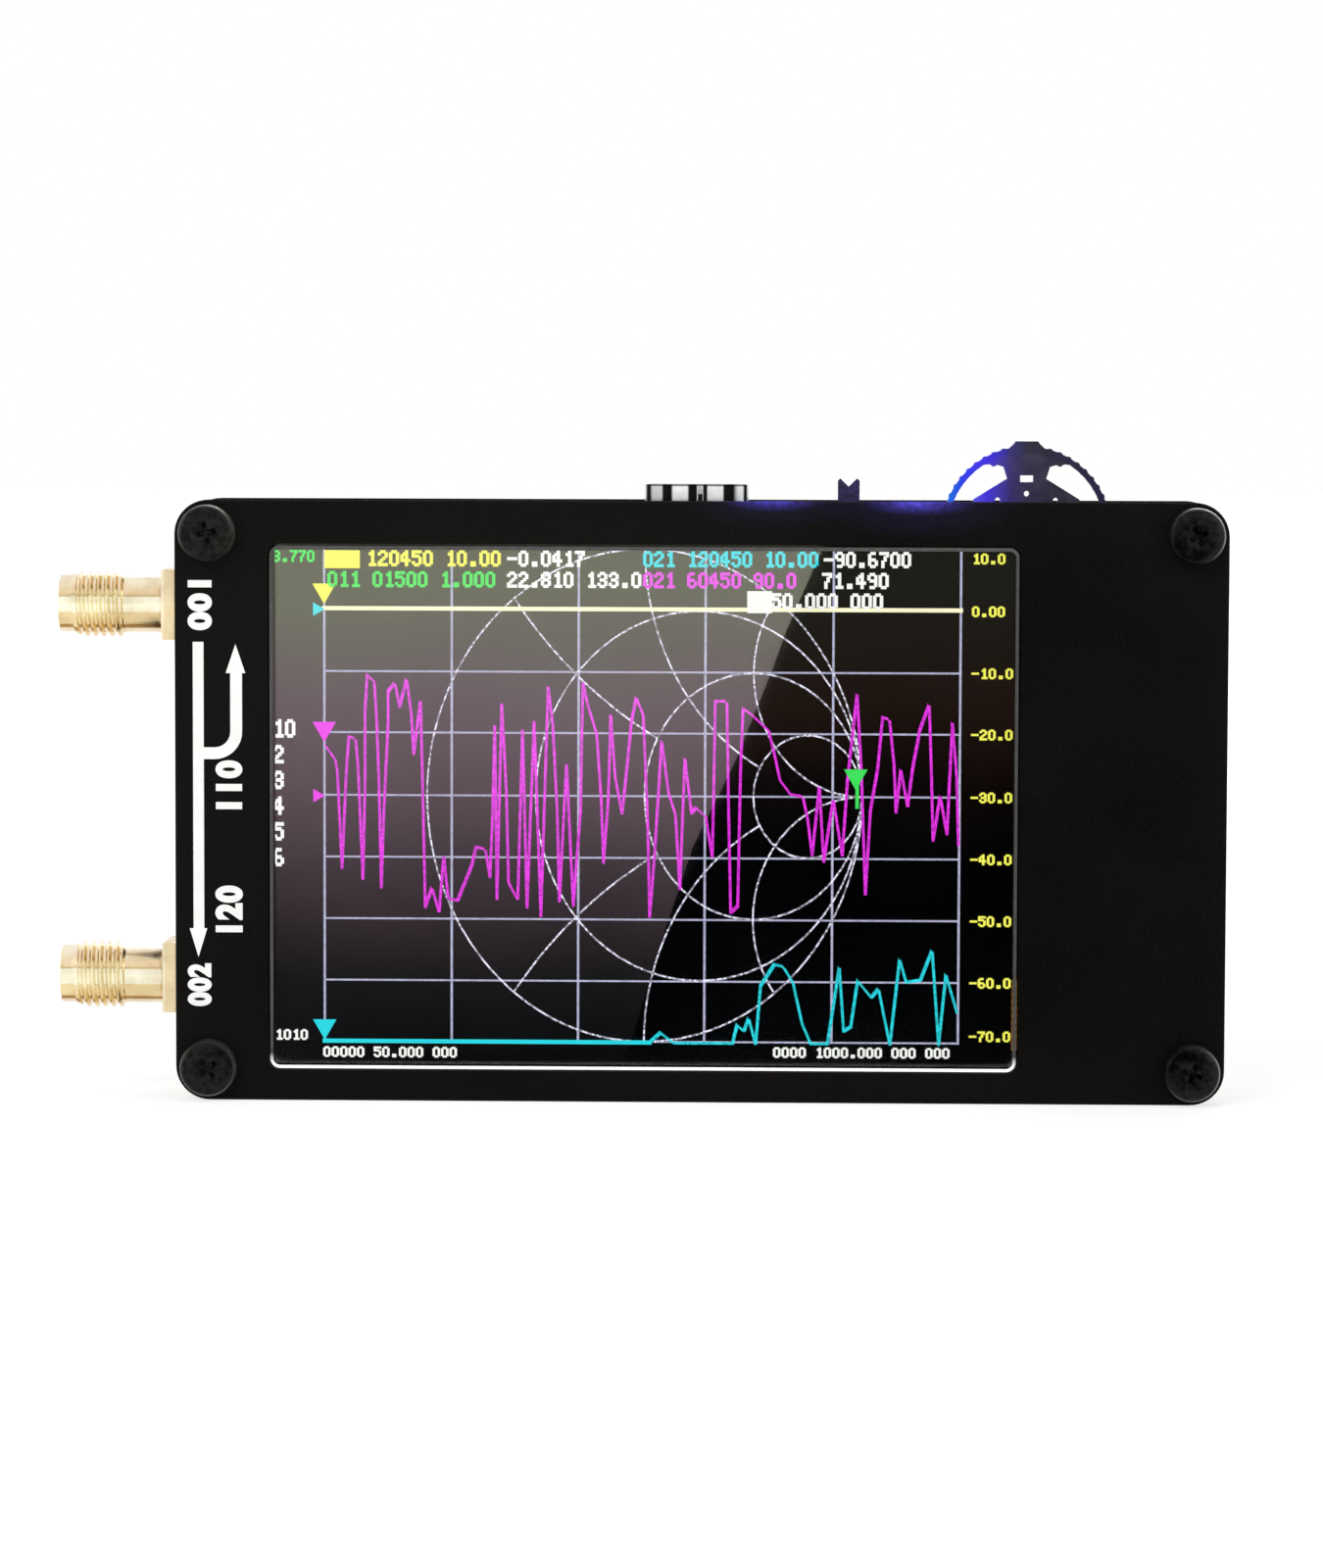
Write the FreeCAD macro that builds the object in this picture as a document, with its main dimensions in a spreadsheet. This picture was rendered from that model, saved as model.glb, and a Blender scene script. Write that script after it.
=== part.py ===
import FreeCAD, Part
import math
import os
import re

import Sketcher
from FreeCAD import Vector

# Hand-held antenna analyzer: two flat panels with the circuit board between them,
# two coaxial ports on the left edge, and a socket, a slide switch and a jog wheel
# on the top edge. Millimetres. +X is right, +Y is away from the user, +Z is up.
#
# Every sub-part is drawn in one board frame: its origin is the middle of the main
# board's front face. "Height" below is the distance in front of that face, so what
# lies behind the face has a negative height. PLACE then stands the whole case on
# its bottom edge with the box of the part centred over the origin.

SIZES = [
    # panels and main board
    ("panel_width", 89.0),
    ("panel_height", 51.0),
    ("panel_thick", 1.6),
    ("corner_radius", 2.9),
    ("edge_break", 0.12),
    ("board_thick", 1.6),
    ("board_inset", 0.2),
    ("back_clearance", 0.3),
    # window: margins from the panel's edges
    ("window_left", 7.9),
    ("window_right", 17.5),
    ("window_top", 3.7),
    ("window_bottom", 2.6),
    ("window_corner", 1.0),
    # screen, from the board outwards
    ("screen_tape_thick", 0.3),
    ("screen_tape_inset", 3.0),
    ("backlight_thick", 1.2),
    ("lcd_thick", 0.8),
    ("lcd_overlap", 0.9),
    ("lcd_clearance", 0.2),
    ("touch_tape_thick", 0.5),
    ("touch_tape_border", 0.35),
    ("glass_gap", 0.15),
    ("glass_proud", 0.3),
    ("glass_chamfer", 0.3),
    ("ribbon_thick", 0.12),
    ("ribbon_slope", 1.6),
    ("ribbon_landing", 4.0),
    ("lcd_ribbon_width", 24.0),
    ("touch_ribbon_width", 6.0),
    ("touch_ribbon_drop", 17.5),
    ("touch_ribbon_grip", 1.4),
    # corner screws, spacers and standoffs
    ("screw_inset", 2.8),
    ("screw_hole", 2.7),
    ("screw_shank", 2.5),
    ("head_width", 4.8),
    ("head_height", 1.7),
    ("head_round", 1.0),
    ("recess_long", 2.5),
    ("recess_wide", 0.6),
    ("recess_deep", 1.0),
    ("front_screw_length", 7.0),
    ("back_screw_length", 3.0),
    ("thread_clearance", 0.05),
    ("spacer_width", 4.5),
    ("standoff_flats", 4.5),
    # coaxial ports
    ("port_reach", 10.4),
    ("upper_port_drop", 9.0),
    ("lower_port_rise", 10.1),
    ("flange_side", 6.35),
    ("flange_thick", 2.0),
    ("neck_width", 5.0),
    ("thread_crest", 6.2),
    ("thread_root", 5.4),
    ("thread_pitch", 0.7056),
    ("lead_in", 1.35),
    ("tip_width", 5.3),
    ("tip_break", 0.2),
    ("mouth_width", 4.6),
    ("mouth_depth", 1.9),
    ("insulator_width", 4.1),
    ("contact_width", 1.27),
    ("contact_bore", 0.94),
    ("contact_depth", 2.4),
    ("pin_width", 0.5),
    ("pin_length", 1.6),
    ("leg_length", 4.0),
    ("leg_side", 1.0),
    # charging socket
    ("usb_place", -0.45),
    ("usb_width", 8.94),
    ("usb_height", 3.2),
    ("usb_depth", 7.3),
    ("usb_reach", 1.35),
    ("usb_wall", 0.3),
    ("usb_corner", 1.2),
    ("usb_seam", 0.4),
    ("usb_seam_shift", 0.3),
    ("usb_tab", 0.5),
    ("usb_tab_long", 1.2),
    ("tongue_width", 6.69),
    ("tongue_thick", 0.7),
    ("tongue_length", 4.45),
    ("usb_block", 2.0),
    ("usb_contact_pitch", 0.5),
    ("usb_contact_wide", 0.25),
    ("usb_contact_long", 3.4),
    ("usb_contact_thick", 0.06),
    # slide power switch
    ("switch_width", 6.7),
    ("switch_deep", 2.7),
    ("switch_thick", 1.4),
    ("switch_inset", 0.5),
    ("switch_travel", 2.0),
    ("knob_width", 1.85),
    ("knob_thick", 0.9),
    ("knob_reach", 1.9),
    ("knob_foot", 1.6),
    ("knob_notch", 0.7),
    ("knob_tip", 0.2),
    ("slot_clearance", 0.08),
    ("solder_pin_wide", 0.4),
    ("solder_pin_long", 1.0),
    ("solder_pin_thick", 0.2),
    ("switch_pin_pitch", 2.0),
    # jog wheel and its unit
    ("jog_side", 16.77),
    ("jog_below", 1.94),
    ("jog_radius", 7.2),
    ("jog_rim", 0.48),
    ("rim_low", 0.6),
    ("jog_cut", 0.6),
    ("jog_tooth", 0.3),
    ("jog_tooth_angle", 7.0),
    ("jog_travel", 0.5),
    ("jog_floor", 0.4),
    ("ear_gap", 0.05),
    ("ear_thick", 0.45),
    ("ear_half", 2.2),
    ("ear_rise", 1.1),
    ("wheel_gap", 0.1),
    ("wheel_thick", 1.5),
    ("pivot_width", 1.5),
    ("pivot_clearance", 0.03),
    ("pivot_head", 2.3),
    ("pivot_head_gap", 0.05),
    ("pivot_head_thick", 0.2),
    ("cover_gap", 0.15),
    ("cover_thick", 0.25),
    ("crown_half", 0.95),
    ("crown_rise", 0.44),
    ("crown_foot", 1.5),
    ("shoulder_half", 3.65),
    ("shoulder_drop", 1.3),
    ("web_drop", 1.58),
    ("web_half", 2.85),
    ("web_lobe", 0.16),
    ("waist_half", 1.65),
    ("waist_drop", 2.75),
    ("dome_side", 3.2),
    ("dome_fall", 0.95),
    ("dome_half", 4.5),
    ("dome_rise", 2.1),
    ("hub_half", 1.5),
    ("hub_drop", 1.6),
    ("carriage_half", 3.4),
    ("carriage_drop", 5.2),
    ("carriage_top", 2.6),
    ("rail_gap", 0.08),
    ("rail_wide", 1.7),
    ("rail_drop", 1.2),
    ("base_rise", 1.2),
    ("base_wall", 0.6),
    ("spring_room", 0.9),
    ("spring_thick", 0.12),
    ("spring_rest", 0.08),
    ("jog_pin_pitch", 1.9),
    # status lights
    ("led_inset", 1.0),
    ("led_wide", 1.6),
    ("led_deep", 0.8),
    ("led_thick", 0.6),
    # shield can and the parts under it: places from the can's middle
    ("shield_left", 5.0),
    ("shield_width", 26.0),
    ("shield_end", 5.5),
    ("shield_height", 1.8),
    ("shield_wall", 0.2),
    ("lid_skirt", 1.0),
    ("mixer_width", 4.9),
    ("mixer_deep", 3.9),
    ("mixer_thick", 1.4),
    ("mixer_pitch", 8.0),
    ("mixer_below", 8.0),
    ("codec_side", 5.0),
    ("codec_thick", 0.9),
    ("codec_left", 5.0),
    ("codec_above", 8.5),
    ("clock_side", 3.0),
    ("clock_thick", 1.0),
    ("clock_right", 5.5),
    ("clock_above", 10.0),
    ("crystal_wide", 3.2),
    ("crystal_deep", 2.5),
    ("crystal_thick", 0.8),
    ("crystal_above", 4.8),
    ("capacitor_wide", 1.6),
    ("capacitor_deep", 0.8),
    ("capacitor_thick", 0.8),
    ("capacitor_pitch", 3.6),
    ("capacitor_row", 16.5),
    ("resistor_wide", 1.0),
    ("resistor_deep", 0.5),
    ("resistor_thick", 0.35),
    ("resistor_pitch", 3.1),
    ("resistor_row", 3.0),
    # parts along the top edge: distances from that edge
    ("controller_side", 7.0),
    ("controller_thick", 1.4),
    ("controller_place", -3.0),
    ("controller_below", 12.2),
    ("controller_pin_pitch", 0.5),
    ("controller_pin_wide", 0.22),
    ("controller_pin_long", 0.8),
    ("controller_pin_thick", 0.15),
    ("watch_crystal_below", 8.0),
    ("watch_crystal_place", 5.8),
    ("charger_side", 4.0),
    ("charger_thick", 0.9),
    ("charger_place", 7.5),
    ("charger_below", 13.0),
    ("coil_side", 4.0),
    ("coil_thick", 1.9),
    ("coil_round", 0.6),
    ("coil_place", 14.0),
    ("coil_below", 12.0),
    ("regulator_wide", 2.9),
    ("regulator_deep", 1.6),
    ("regulator_thick", 1.1),
    ("regulator_gap", 1.77),
    ("regulator_below", 9.0),
    # battery
    ("cell_side_gap", 5.5),
    ("cell_end", 9.5),
    ("cell_bottom", 3.5),
    ("cell_top", 17.5),
    ("cell_thick", 3.0),
    ("cell_round", 1.2),
    ("cell_tape_thick", 0.2),
    ("cell_tape_inset", 5.0),
    ("guard_wide", 2.6),
    ("guard_long", 18.0),
    ("guard_thick", 1.0),
    ("lead_width", 0.9),
    ("lead_pitch", 1.1),
    ("socket_side", 7.5),
    ("socket_below", 11.5),
    ("socket_wide", 4.2),
    ("socket_long", 4.25),
    ("socket_thick", 2.9),
    ("socket_wall", 0.45),
    ("socket_floor", 1.0),
    ("plug_clearance", 0.05),
    ("plug_out", 1.6),
]

# Heights of the layers, from the board's front face.
BOARD_BACK = "(-board_thick)"
LCD_BACK = "(screen_tape_thick + backlight_thick)"
LCD_FRONT = "(screen_tape_thick + backlight_thick + lcd_thick)"
GLASS_BACK = f"({LCD_FRONT} + touch_tape_thick)"
PANEL_BACK = f"({LCD_FRONT} + lcd_clearance)"
PANEL_FRONT = f"({PANEL_BACK} + panel_thick)"
PORT_HEIGHT = "(-board_thick - pin_width/2)"
JOG_FLOOR = "(-board_thick - jog_floor)"
EAR_FRONT = f"({JOG_FLOOR} - ear_gap)"
EAR_BACK = f"({EAR_FRONT} - ear_thick)"
WHEEL_FRONT = f"({EAR_BACK} - wheel_gap)"
WHEEL_BACK = f"({WHEEL_FRONT} - wheel_thick)"
PIVOT_BACK = f"({WHEEL_BACK} - pivot_head_gap - pivot_head_thick)"
COVER_FRONT = f"({PIVOT_BACK} - cover_gap)"
COVER_BACK = f"({COVER_FRONT} - cover_thick)"
FLANGE_DEPTH = "(flange_side/2 + pin_width/2)"
BACK_GAP = (
    f"(max(usb_height; cell_thick + cell_tape_thick; {FLANGE_DEPTH}; -({COVER_BACK}) - board_thick)"
    " + back_clearance)"
)
BACK_INNER = f"(-board_thick - {BACK_GAP})"
BACK_OUTER = f"({BACK_INNER} - panel_thick)"

# Places across the panel.
TOP_EDGE = "(panel_height/2)"
BOARD_LEFT = "(-panel_width/2 + board_inset)"
SCREW_X = "(panel_width/2 - screw_inset)"
SCREW_Z = "(panel_height/2 - screw_inset)"
WINDOW_X = "((window_left - window_right)/2)"
WINDOW_Z = "((window_bottom - window_top)/2)"
WINDOW_WIDTH = "(panel_width - window_left - window_right)"
WINDOW_HEIGHT = "(panel_height - window_top - window_bottom)"
LCD_WIDTH = f"({WINDOW_WIDTH} + 2*lcd_overlap)"
LCD_HEIGHT = f"({WINDOW_HEIGHT} + 2*lcd_overlap)"
LCD_RIGHT = f"({WINDOW_X} + {LCD_WIDTH}/2)"
GLASS_WIDTH = f"({WINDOW_WIDTH} - 2*glass_gap)"
GLASS_HEIGHT = f"({WINDOW_HEIGHT} - 2*glass_gap)"
TOUCH_RIBBON_Z = f"({WINDOW_Z} - touch_ribbon_drop)"
PORT_1_Z = f"({TOP_EDGE} - upper_port_drop)"
PORT_2_Z = f"(lower_port_rise - {TOP_EDGE})"
PORT_TIP = "(-panel_width/2 - port_reach)"
THREAD_CRESTS = 6
THREAD_END = f"({PORT_TIP} + lead_in)"
THREAD_START = f"({THREAD_END} + {THREAD_CRESTS}*thread_pitch)"
INSULATOR_FACE = f"({PORT_TIP} + mouth_depth)"
USB_TOP = f"({TOP_EDGE} + usb_reach)"
USB_BOTTOM = f"({USB_TOP} - usb_depth)"
USB_RIGHT = "(usb_place + usb_width/2 + usb_tab)"
USB_HEIGHT = "(-board_thick - usb_height/2)"
SWITCH_TOP = f"({TOP_EDGE} - switch_inset)"
SWITCH_BOTTOM = f"({SWITCH_TOP} - switch_deep)"
SWITCH_HEIGHT = "(-board_thick - switch_thick/2)"
KNOB_X = "(switch_place + switch_travel/2)"
JOG_Z = f"({TOP_EDGE} - jog_below)"
BASE_HALF = "(carriage_half + rail_gap + rail_wide)"
JOG_LEFT = f"(jog_place - {BASE_HALF} - cover_thick)"
BASE_BOTTOM = f"({JOG_Z} - carriage_drop - jog_travel - spring_room - base_wall)"
LED_Z = f"({TOP_EDGE} - led_inset)"
SHIELD_X = "(-panel_width/2 + shield_left + shield_width/2)"
SHIELD_LONG = "(panel_height - 2*shield_end)"
SHIELD_BACK = "(-board_thick - shield_height)"
CELL_LEFT = "(-panel_width/2 + shield_left + shield_width + cell_side_gap)"
CELL_RIGHT = "(panel_width/2 - cell_end)"
CELL_X = f"(({CELL_LEFT} + {CELL_RIGHT})/2)"
CELL_WIDTH = f"({CELL_RIGHT} - {CELL_LEFT})"
CELL_Z = "((cell_bottom - cell_top)/2)"
CELL_LONG = "(panel_height - cell_bottom - cell_top)"
CELL_FRONT = "(-board_thick - cell_tape_thick)"
CELL_MIDDLE = f"({CELL_FRONT} - cell_thick/2)"
GUARD_TOP = f"({CELL_Z} + guard_long/2)"
SOCKET_X = "(panel_width/2 - socket_side)"
SOCKET_BOTTOM = f"({TOP_EDGE} - socket_below)"
SOCKET_HEIGHT = "(-board_thick - socket_thick/2)"
PLUG_BOTTOM = f"({SOCKET_BOTTOM} - plug_out)"

# Places along the top edge that follow from their neighbours, by the names that
# formulas use for them. A place comes before the places that it is worked out from.
PLACES = {
    "led_left_place": f"(({USB_RIGHT} + switch_place - switch_width/2)/2)",
    "led_right_place": f"((switch_place + switch_width/2 + {JOG_LEFT})/2)",
    "regulator_place": f"({JOG_LEFT} - regulator_gap - regulator_wide/2)",
    "switch_place": f"({USB_RIGHT} + 0.394*({JOG_LEFT} - {USB_RIGHT}))",
    "jog_place": "(panel_width/2 - jog_side)",
}

# The case stands on its panels' bottom edges, centred on its box.
PLACE = {
    "x": "port_reach/2",
    "y": f"({PANEL_FRONT} + {BACK_OUTER})/2",
    "z": TOP_EDGE,
}

SIDES = (-1, 1)
CORNERS = [(x, z) for x in SIDES for z in SIDES]
CONTACTS_PER_ROW = 12
JOG_TEETH = 11
STRAIGHT = "Part::GeomLine"
TINY = 0.001

doc = FreeCAD.newDocument("AntennaAnalyzer")
sheet = doc.addObject("Spreadsheet::Sheet", "Sizes")
for row, (alias, value) in enumerate(SIZES, start=1):
    sheet.set(f"A{row}", alias)
    sheet.set(f"B{row}", str(value))
    sheet.setAlias(f"B{row}", alias)
doc.recompute()
ALIASES = {alias for alias, value in SIZES}


def spell(text):
    """Write a formula of size and place names as an expression on the sheet."""
    for name, formula in PLACES.items():
        text = text.replace(name, formula)
    return re.sub(
        r"[a-z][a-z_]+",
        lambda word: f"Sizes.{word.group()}" if word.group() in ALIASES else word.group(),
        text,
    )


def bind(thing, path, formula):
    thing.setExpression(path, spell(formula))


# --- sketches -------------------------------------------------------------------


def new_body(label):
    body = doc.addObject("PartDesign::Body", label)
    body.Label = label
    body.AllowCompound = True
    for axis, formula in PLACE.items():
        bind(body, f"Placement.Base.{axis}", formula)
    return body


def sketch_on(body, plane, name, offset, shift_y="0"):
    """A sketch on one of the body's own planes, moved along the plane's normal."""
    sketch = body.newObject("Sketcher::SketchObject", f"{body.Label}_{name}")
    origin_plane = [item for item in body.Origin.OriginFeatures if item.Role == plane][0]
    sketch.AttachmentSupport = (origin_plane, [""])
    sketch.MapMode = "FlatFace"
    bind(sketch, "AttachmentOffset.Base.z", offset)
    bind(sketch, "AttachmentOffset.Base.y", shift_y)
    return sketch


def face_sketch(body, name, height):
    """X and Z across the panel, at a height in front of the board."""
    return sketch_on(body, "XZ_Plane", name, height)


def level_sketch(body, name, level, depth="0"):
    """X and Y at a level above the board's middle; Y is counted from a depth."""
    return sketch_on(body, "XY_Plane", name, level, depth)


def pin_point(sketch, edge, point, x, y):
    for kind, formula in (("DistanceX", x), ("DistanceY", y)):
        rule = sketch.addConstraint(Sketcher.Constraint(kind, -1, 1, edge, point, 1.0))
        bind(sketch, f"Constraints[{rule}]", formula)


def draw_polygon(sketch, corners):
    count = len(corners)
    ring = [
        Vector(math.cos(2*math.pi*i/count), math.sin(2*math.pi*i/count), 0)
        for i in range(count)
    ]
    sides = [
        sketch.addGeometry(Part.LineSegment(ring[i], ring[(i + 1) % count]), False)
        for i in range(count)
    ]
    for i, (x, y) in enumerate(corners):
        sketch.addConstraint(Sketcher.Constraint("Coincident", sides[i - 1], 2, sides[i], 1))
        pin_point(sketch, sides[i], 1, x, y)


def draw_box(sketch, left, low, right, high):
    draw_polygon(sketch, [(left, low), (right, low), (right, high), (left, high)])


def draw_centred(sketch, x, y, width, height):
    draw_box(
        sketch,
        f"{x} - {width}/2",
        f"{y} - {height}/2",
        f"{x} + {width}/2",
        f"{y} + {height}/2",
    )


def draw_circle(sketch, x, y, width):
    circle = sketch.addGeometry(Part.Circle(Vector(0.5, 0.3, 0), Vector(0, 0, 1), 1.0), False)
    pin_point(sketch, circle, 3, x, y)
    rule = sketch.addConstraint(Sketcher.Constraint("Radius", circle, 1.0))
    bind(sketch, f"Constraints[{rule}]", f"({width})/2")


def draw_corner_circles(sketch, width):
    for x, z in CORNERS:
        draw_circle(sketch, f"{x}*{SCREW_X}", f"{z}*{SCREW_Z}", width)


# --- features -------------------------------------------------------------------


def volume(body):
    return 0.0 if body.Shape.isNull() else body.Shape.Volume


def settle(body, feature, grows):
    """Make a feature the tip, and check that it added or removed material."""
    before = volume(body)
    body.Tip = feature
    doc.recompute()
    change = volume(body) - before
    if abs(change) < TINY*TINY or (change > 0) != grows:
        raise RuntimeError(f"{feature.Label} changed the volume by {change}")
    return feature


def pad(body, sketch, length, reverse=False):
    feature = body.newObject("PartDesign::Pad", f"{sketch.Label}_pad")
    feature.Profile = sketch
    feature.Reversed = reverse
    bind(feature, "Length", length)
    return settle(body, feature, grows=True)


def pocket(body, sketch, length=None, reverse=False):
    """Cut to a length, or right through on both sides of the sketch."""
    feature = body.newObject("PartDesign::Pocket", f"{sketch.Label}_pocket")
    feature.Profile = sketch
    feature.Reversed = reverse
    if length:
        bind(feature, "Length", length)
    else:
        feature.Type = "ThroughAll"
        feature.Midplane = True
    return settle(body, feature, grows=False)


def revolve(body, sketch, axis="H_Axis"):
    feature = body.newObject("PartDesign::Revolution", f"{sketch.Label}_turned")
    feature.Profile = sketch
    feature.ReferenceAxis = (sketch, [axis])
    feature.Angle = 360
    return settle(body, feature, grows=True)


def repeat_along(body, feature, sketch, axis, pitch, count):
    """Copies of a feature in a row along one axis of its sketch."""
    pattern = body.newObject("PartDesign::LinearPattern", f"{feature.Label}_row")
    pattern.Originals = [feature]
    pattern.Direction = (sketch, [axis])
    pattern.Occurrences = count
    bind(pattern, "Length", f"{count - 1}*{pitch}")
    return settle(body, pattern, grows=True)


def dress(body, kind, edges, prop, size):
    base = body.Tip
    feature = body.newObject(f"PartDesign::{kind}", f"{body.Label}_{kind.lower()}")
    feature.Base = (base, edges)
    bind(feature, prop, size)
    doc.recompute()
    if not edges or feature.Shape.isNull():
        raise RuntimeError(f"{feature.Label} failed")
    return feature


def edge_names(body, wanted):
    return [
        f"Edge{number}" for number, edge in enumerate(body.Tip.Shape.Edges, start=1) if wanted(edge)
    ]


def face_names(body, wanted):
    return [
        f"Face{number}" for number, face in enumerate(body.Tip.Shape.Faces, start=1) if wanted(face)
    ]


def runs_along(edge, axis):
    if edge.Curve.TypeId != STRAIGHT:
        return False
    return abs(getattr(edge.tangentAt(edge.FirstParameter), axis)) > 1 - TINY


def round_uprights(body, radius, axis="y", inner=False):
    """Round the corner edges of an outline, or those of the opening inside it."""
    box = body.Tip.Shape.BoundBox
    limits = {"x": (box.XMin, box.XMax), "y": (box.YMin, box.YMax), "z": (box.ZMin, box.ZMax)}
    across = [name for name in "xyz" if name != axis]

    def wanted(edge):
        if not runs_along(edge, axis):
            return False
        point = edge.CenterOfMass
        on_side = [
            min(abs(getattr(point, name) - limit) for limit in limits[name]) < TINY
            for name in across
        ]
        return not any(on_side) if inner else all(on_side)

    return dress(body, "Fillet", edge_names(body, wanted), "Radius", radius)


def front_rim(edge, box):
    return edge.BoundBox.YMax < box.YMin + TINY


def outline_rim(edge, box):
    """Edges of a face that lie on the outside of the box, corners included."""
    point = edge.CenterOfMass
    reach_x = max(abs(point.x - box.XMin), abs(point.x - box.XMax))
    reach_z = max(abs(point.z - box.ZMin), abs(point.z - box.ZMax))
    return reach_x > 0.97*box.XLength or reach_z > 0.95*box.ZLength


def slab(label, x, z, width, long, back, thick, corner=None):
    """A flat piece parallel to the panels, built forward from its back face."""
    body = new_body(label)
    outline = face_sketch(body, "outline", back)
    draw_centred(outline, x, z, width, long)
    pad(body, outline, thick)
    if corner:
        round_uprights(body, corner)
    return body


def on_board(label, places, width, deep, thick):
    """Small parts soldered to the back of the board."""
    body = new_body(label)
    outline = face_sketch(body, "outline", f"{BOARD_BACK} - {thick}")
    for x, z in places:
        draw_centred(outline, x, z, width, deep)
    pad(body, outline, thick)
    return body


# --- case -----------------------------------------------------------------------


def make_front_panel():
    body = slab(
        "front_panel", "0", "0", "panel_width", "panel_height", PANEL_BACK, "panel_thick",
        "corner_radius",
    )
    window = face_sketch(body, "window", PANEL_FRONT)
    draw_centred(window, WINDOW_X, WINDOW_Z, WINDOW_WIDTH, WINDOW_HEIGHT)
    pocket(body, window)
    round_uprights(body, "window_corner", inner=True)
    holes = face_sketch(body, "holes", PANEL_FRONT)
    draw_corner_circles(holes, "screw_hole")
    pocket(body, holes)
    box = body.Tip.Shape.BoundBox
    rim = edge_names(body, lambda edge: front_rim(edge, box) and outline_rim(edge, box))
    dress(body, "Chamfer", rim, "Size", "edge_break")


def make_back_panel():
    body = slab(
        "back_panel", "0", "0", "panel_width", "panel_height", BACK_OUTER, "panel_thick",
        "corner_radius",
    )
    holes = face_sketch(body, "holes", BACK_OUTER)
    draw_corner_circles(holes, "screw_hole")
    pocket(body, holes)


def make_main_board():
    body = slab(
        "main_board", "0", "0", "(panel_width - 2*board_inset)", "(panel_height - 2*board_inset)",
        BOARD_BACK, "board_thick", "(corner_radius - board_inset)",
    )
    holes = face_sketch(body, "holes", "0")
    draw_corner_circles(holes, "screw_hole")
    pocket(body, holes)


# How far each corner screw's recess is turned, in degrees.
RECESS_TURNS = (38, 12, 71, 24)


def draw_cross(sketch, x, z, turn):
    """A four-winged recess about a point, turned by an angle."""
    long = "recess_long/2"
    wide = "recess_wide/2"
    quarter = [(long, f"-{wide}"), (long, wide), (wide, wide)]
    corners = []
    for step in range(4):
        cosine = round(math.cos(math.radians(turn + 90*step)), 6)
        sine = round(math.sin(math.radians(turn + 90*step)), 6)
        corners += [
            (f"{x} + {cosine}*({u}) - {sine}*({v})", f"{z} + {sine}*({u}) + {cosine}*({v})")
            for u, v in quarter
        ]
    draw_polygon(sketch, corners)


def make_corner_screws(label, seat, outward, length):
    """Four pan-head screws; outward is 1 for the front panel and -1 for the back one."""
    body = new_body(label)
    backwards = outward < 0
    heads = face_sketch(body, "heads", seat)
    draw_corner_circles(heads, "head_width")
    pad(body, heads, "head_height", reverse=backwards)
    box = body.Tip.Shape.BoundBox
    outer = box.YMax if backwards else box.YMin
    rims = edge_names(
        body, lambda edge: abs(edge.CenterOfMass.y - outer) < TINY and edge.isClosed()
    )
    dress(body, "Fillet", rims, "Radius", "head_round")
    recess = face_sketch(body, "recess", f"{seat} + {outward}*head_height")
    for (x, z), turn in zip(CORNERS, RECESS_TURNS):
        draw_cross(recess, f"{x}*{SCREW_X}", f"{z}*{SCREW_Z}", turn)
    pocket(body, recess, "recess_deep", reverse=backwards)
    shanks = face_sketch(body, "shanks", seat)
    draw_corner_circles(shanks, "screw_shank")
    pad(body, shanks, length, reverse=not backwards)


def make_front_spacers():
    body = new_body("front_spacers")
    outline = face_sketch(body, "outline", "0")
    draw_corner_circles(outline, "spacer_width")
    draw_corner_circles(outline, "screw_hole")
    pad(body, outline, PANEL_BACK)


def make_rear_standoffs():
    body = new_body("rear_standoffs")
    outline = face_sketch(body, "outline", BACK_INNER)
    for x, z in CORNERS:
        hexagon = [
            (
                f"{x}*{SCREW_X} + {round(math.cos(math.radians(60*i))/math.cos(math.pi/6), 6)}"
                "*standoff_flats/2",
                f"{z}*{SCREW_Z} + {round(math.sin(math.radians(60*i))/math.cos(math.pi/6), 6)}"
                "*standoff_flats/2",
            )
            for i in range(6)
        ]
        draw_polygon(outline, hexagon)
    draw_corner_circles(outline, "screw_shank + 2*thread_clearance")
    pad(body, outline, BACK_GAP)


# --- screen ---------------------------------------------------------------------


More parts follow.
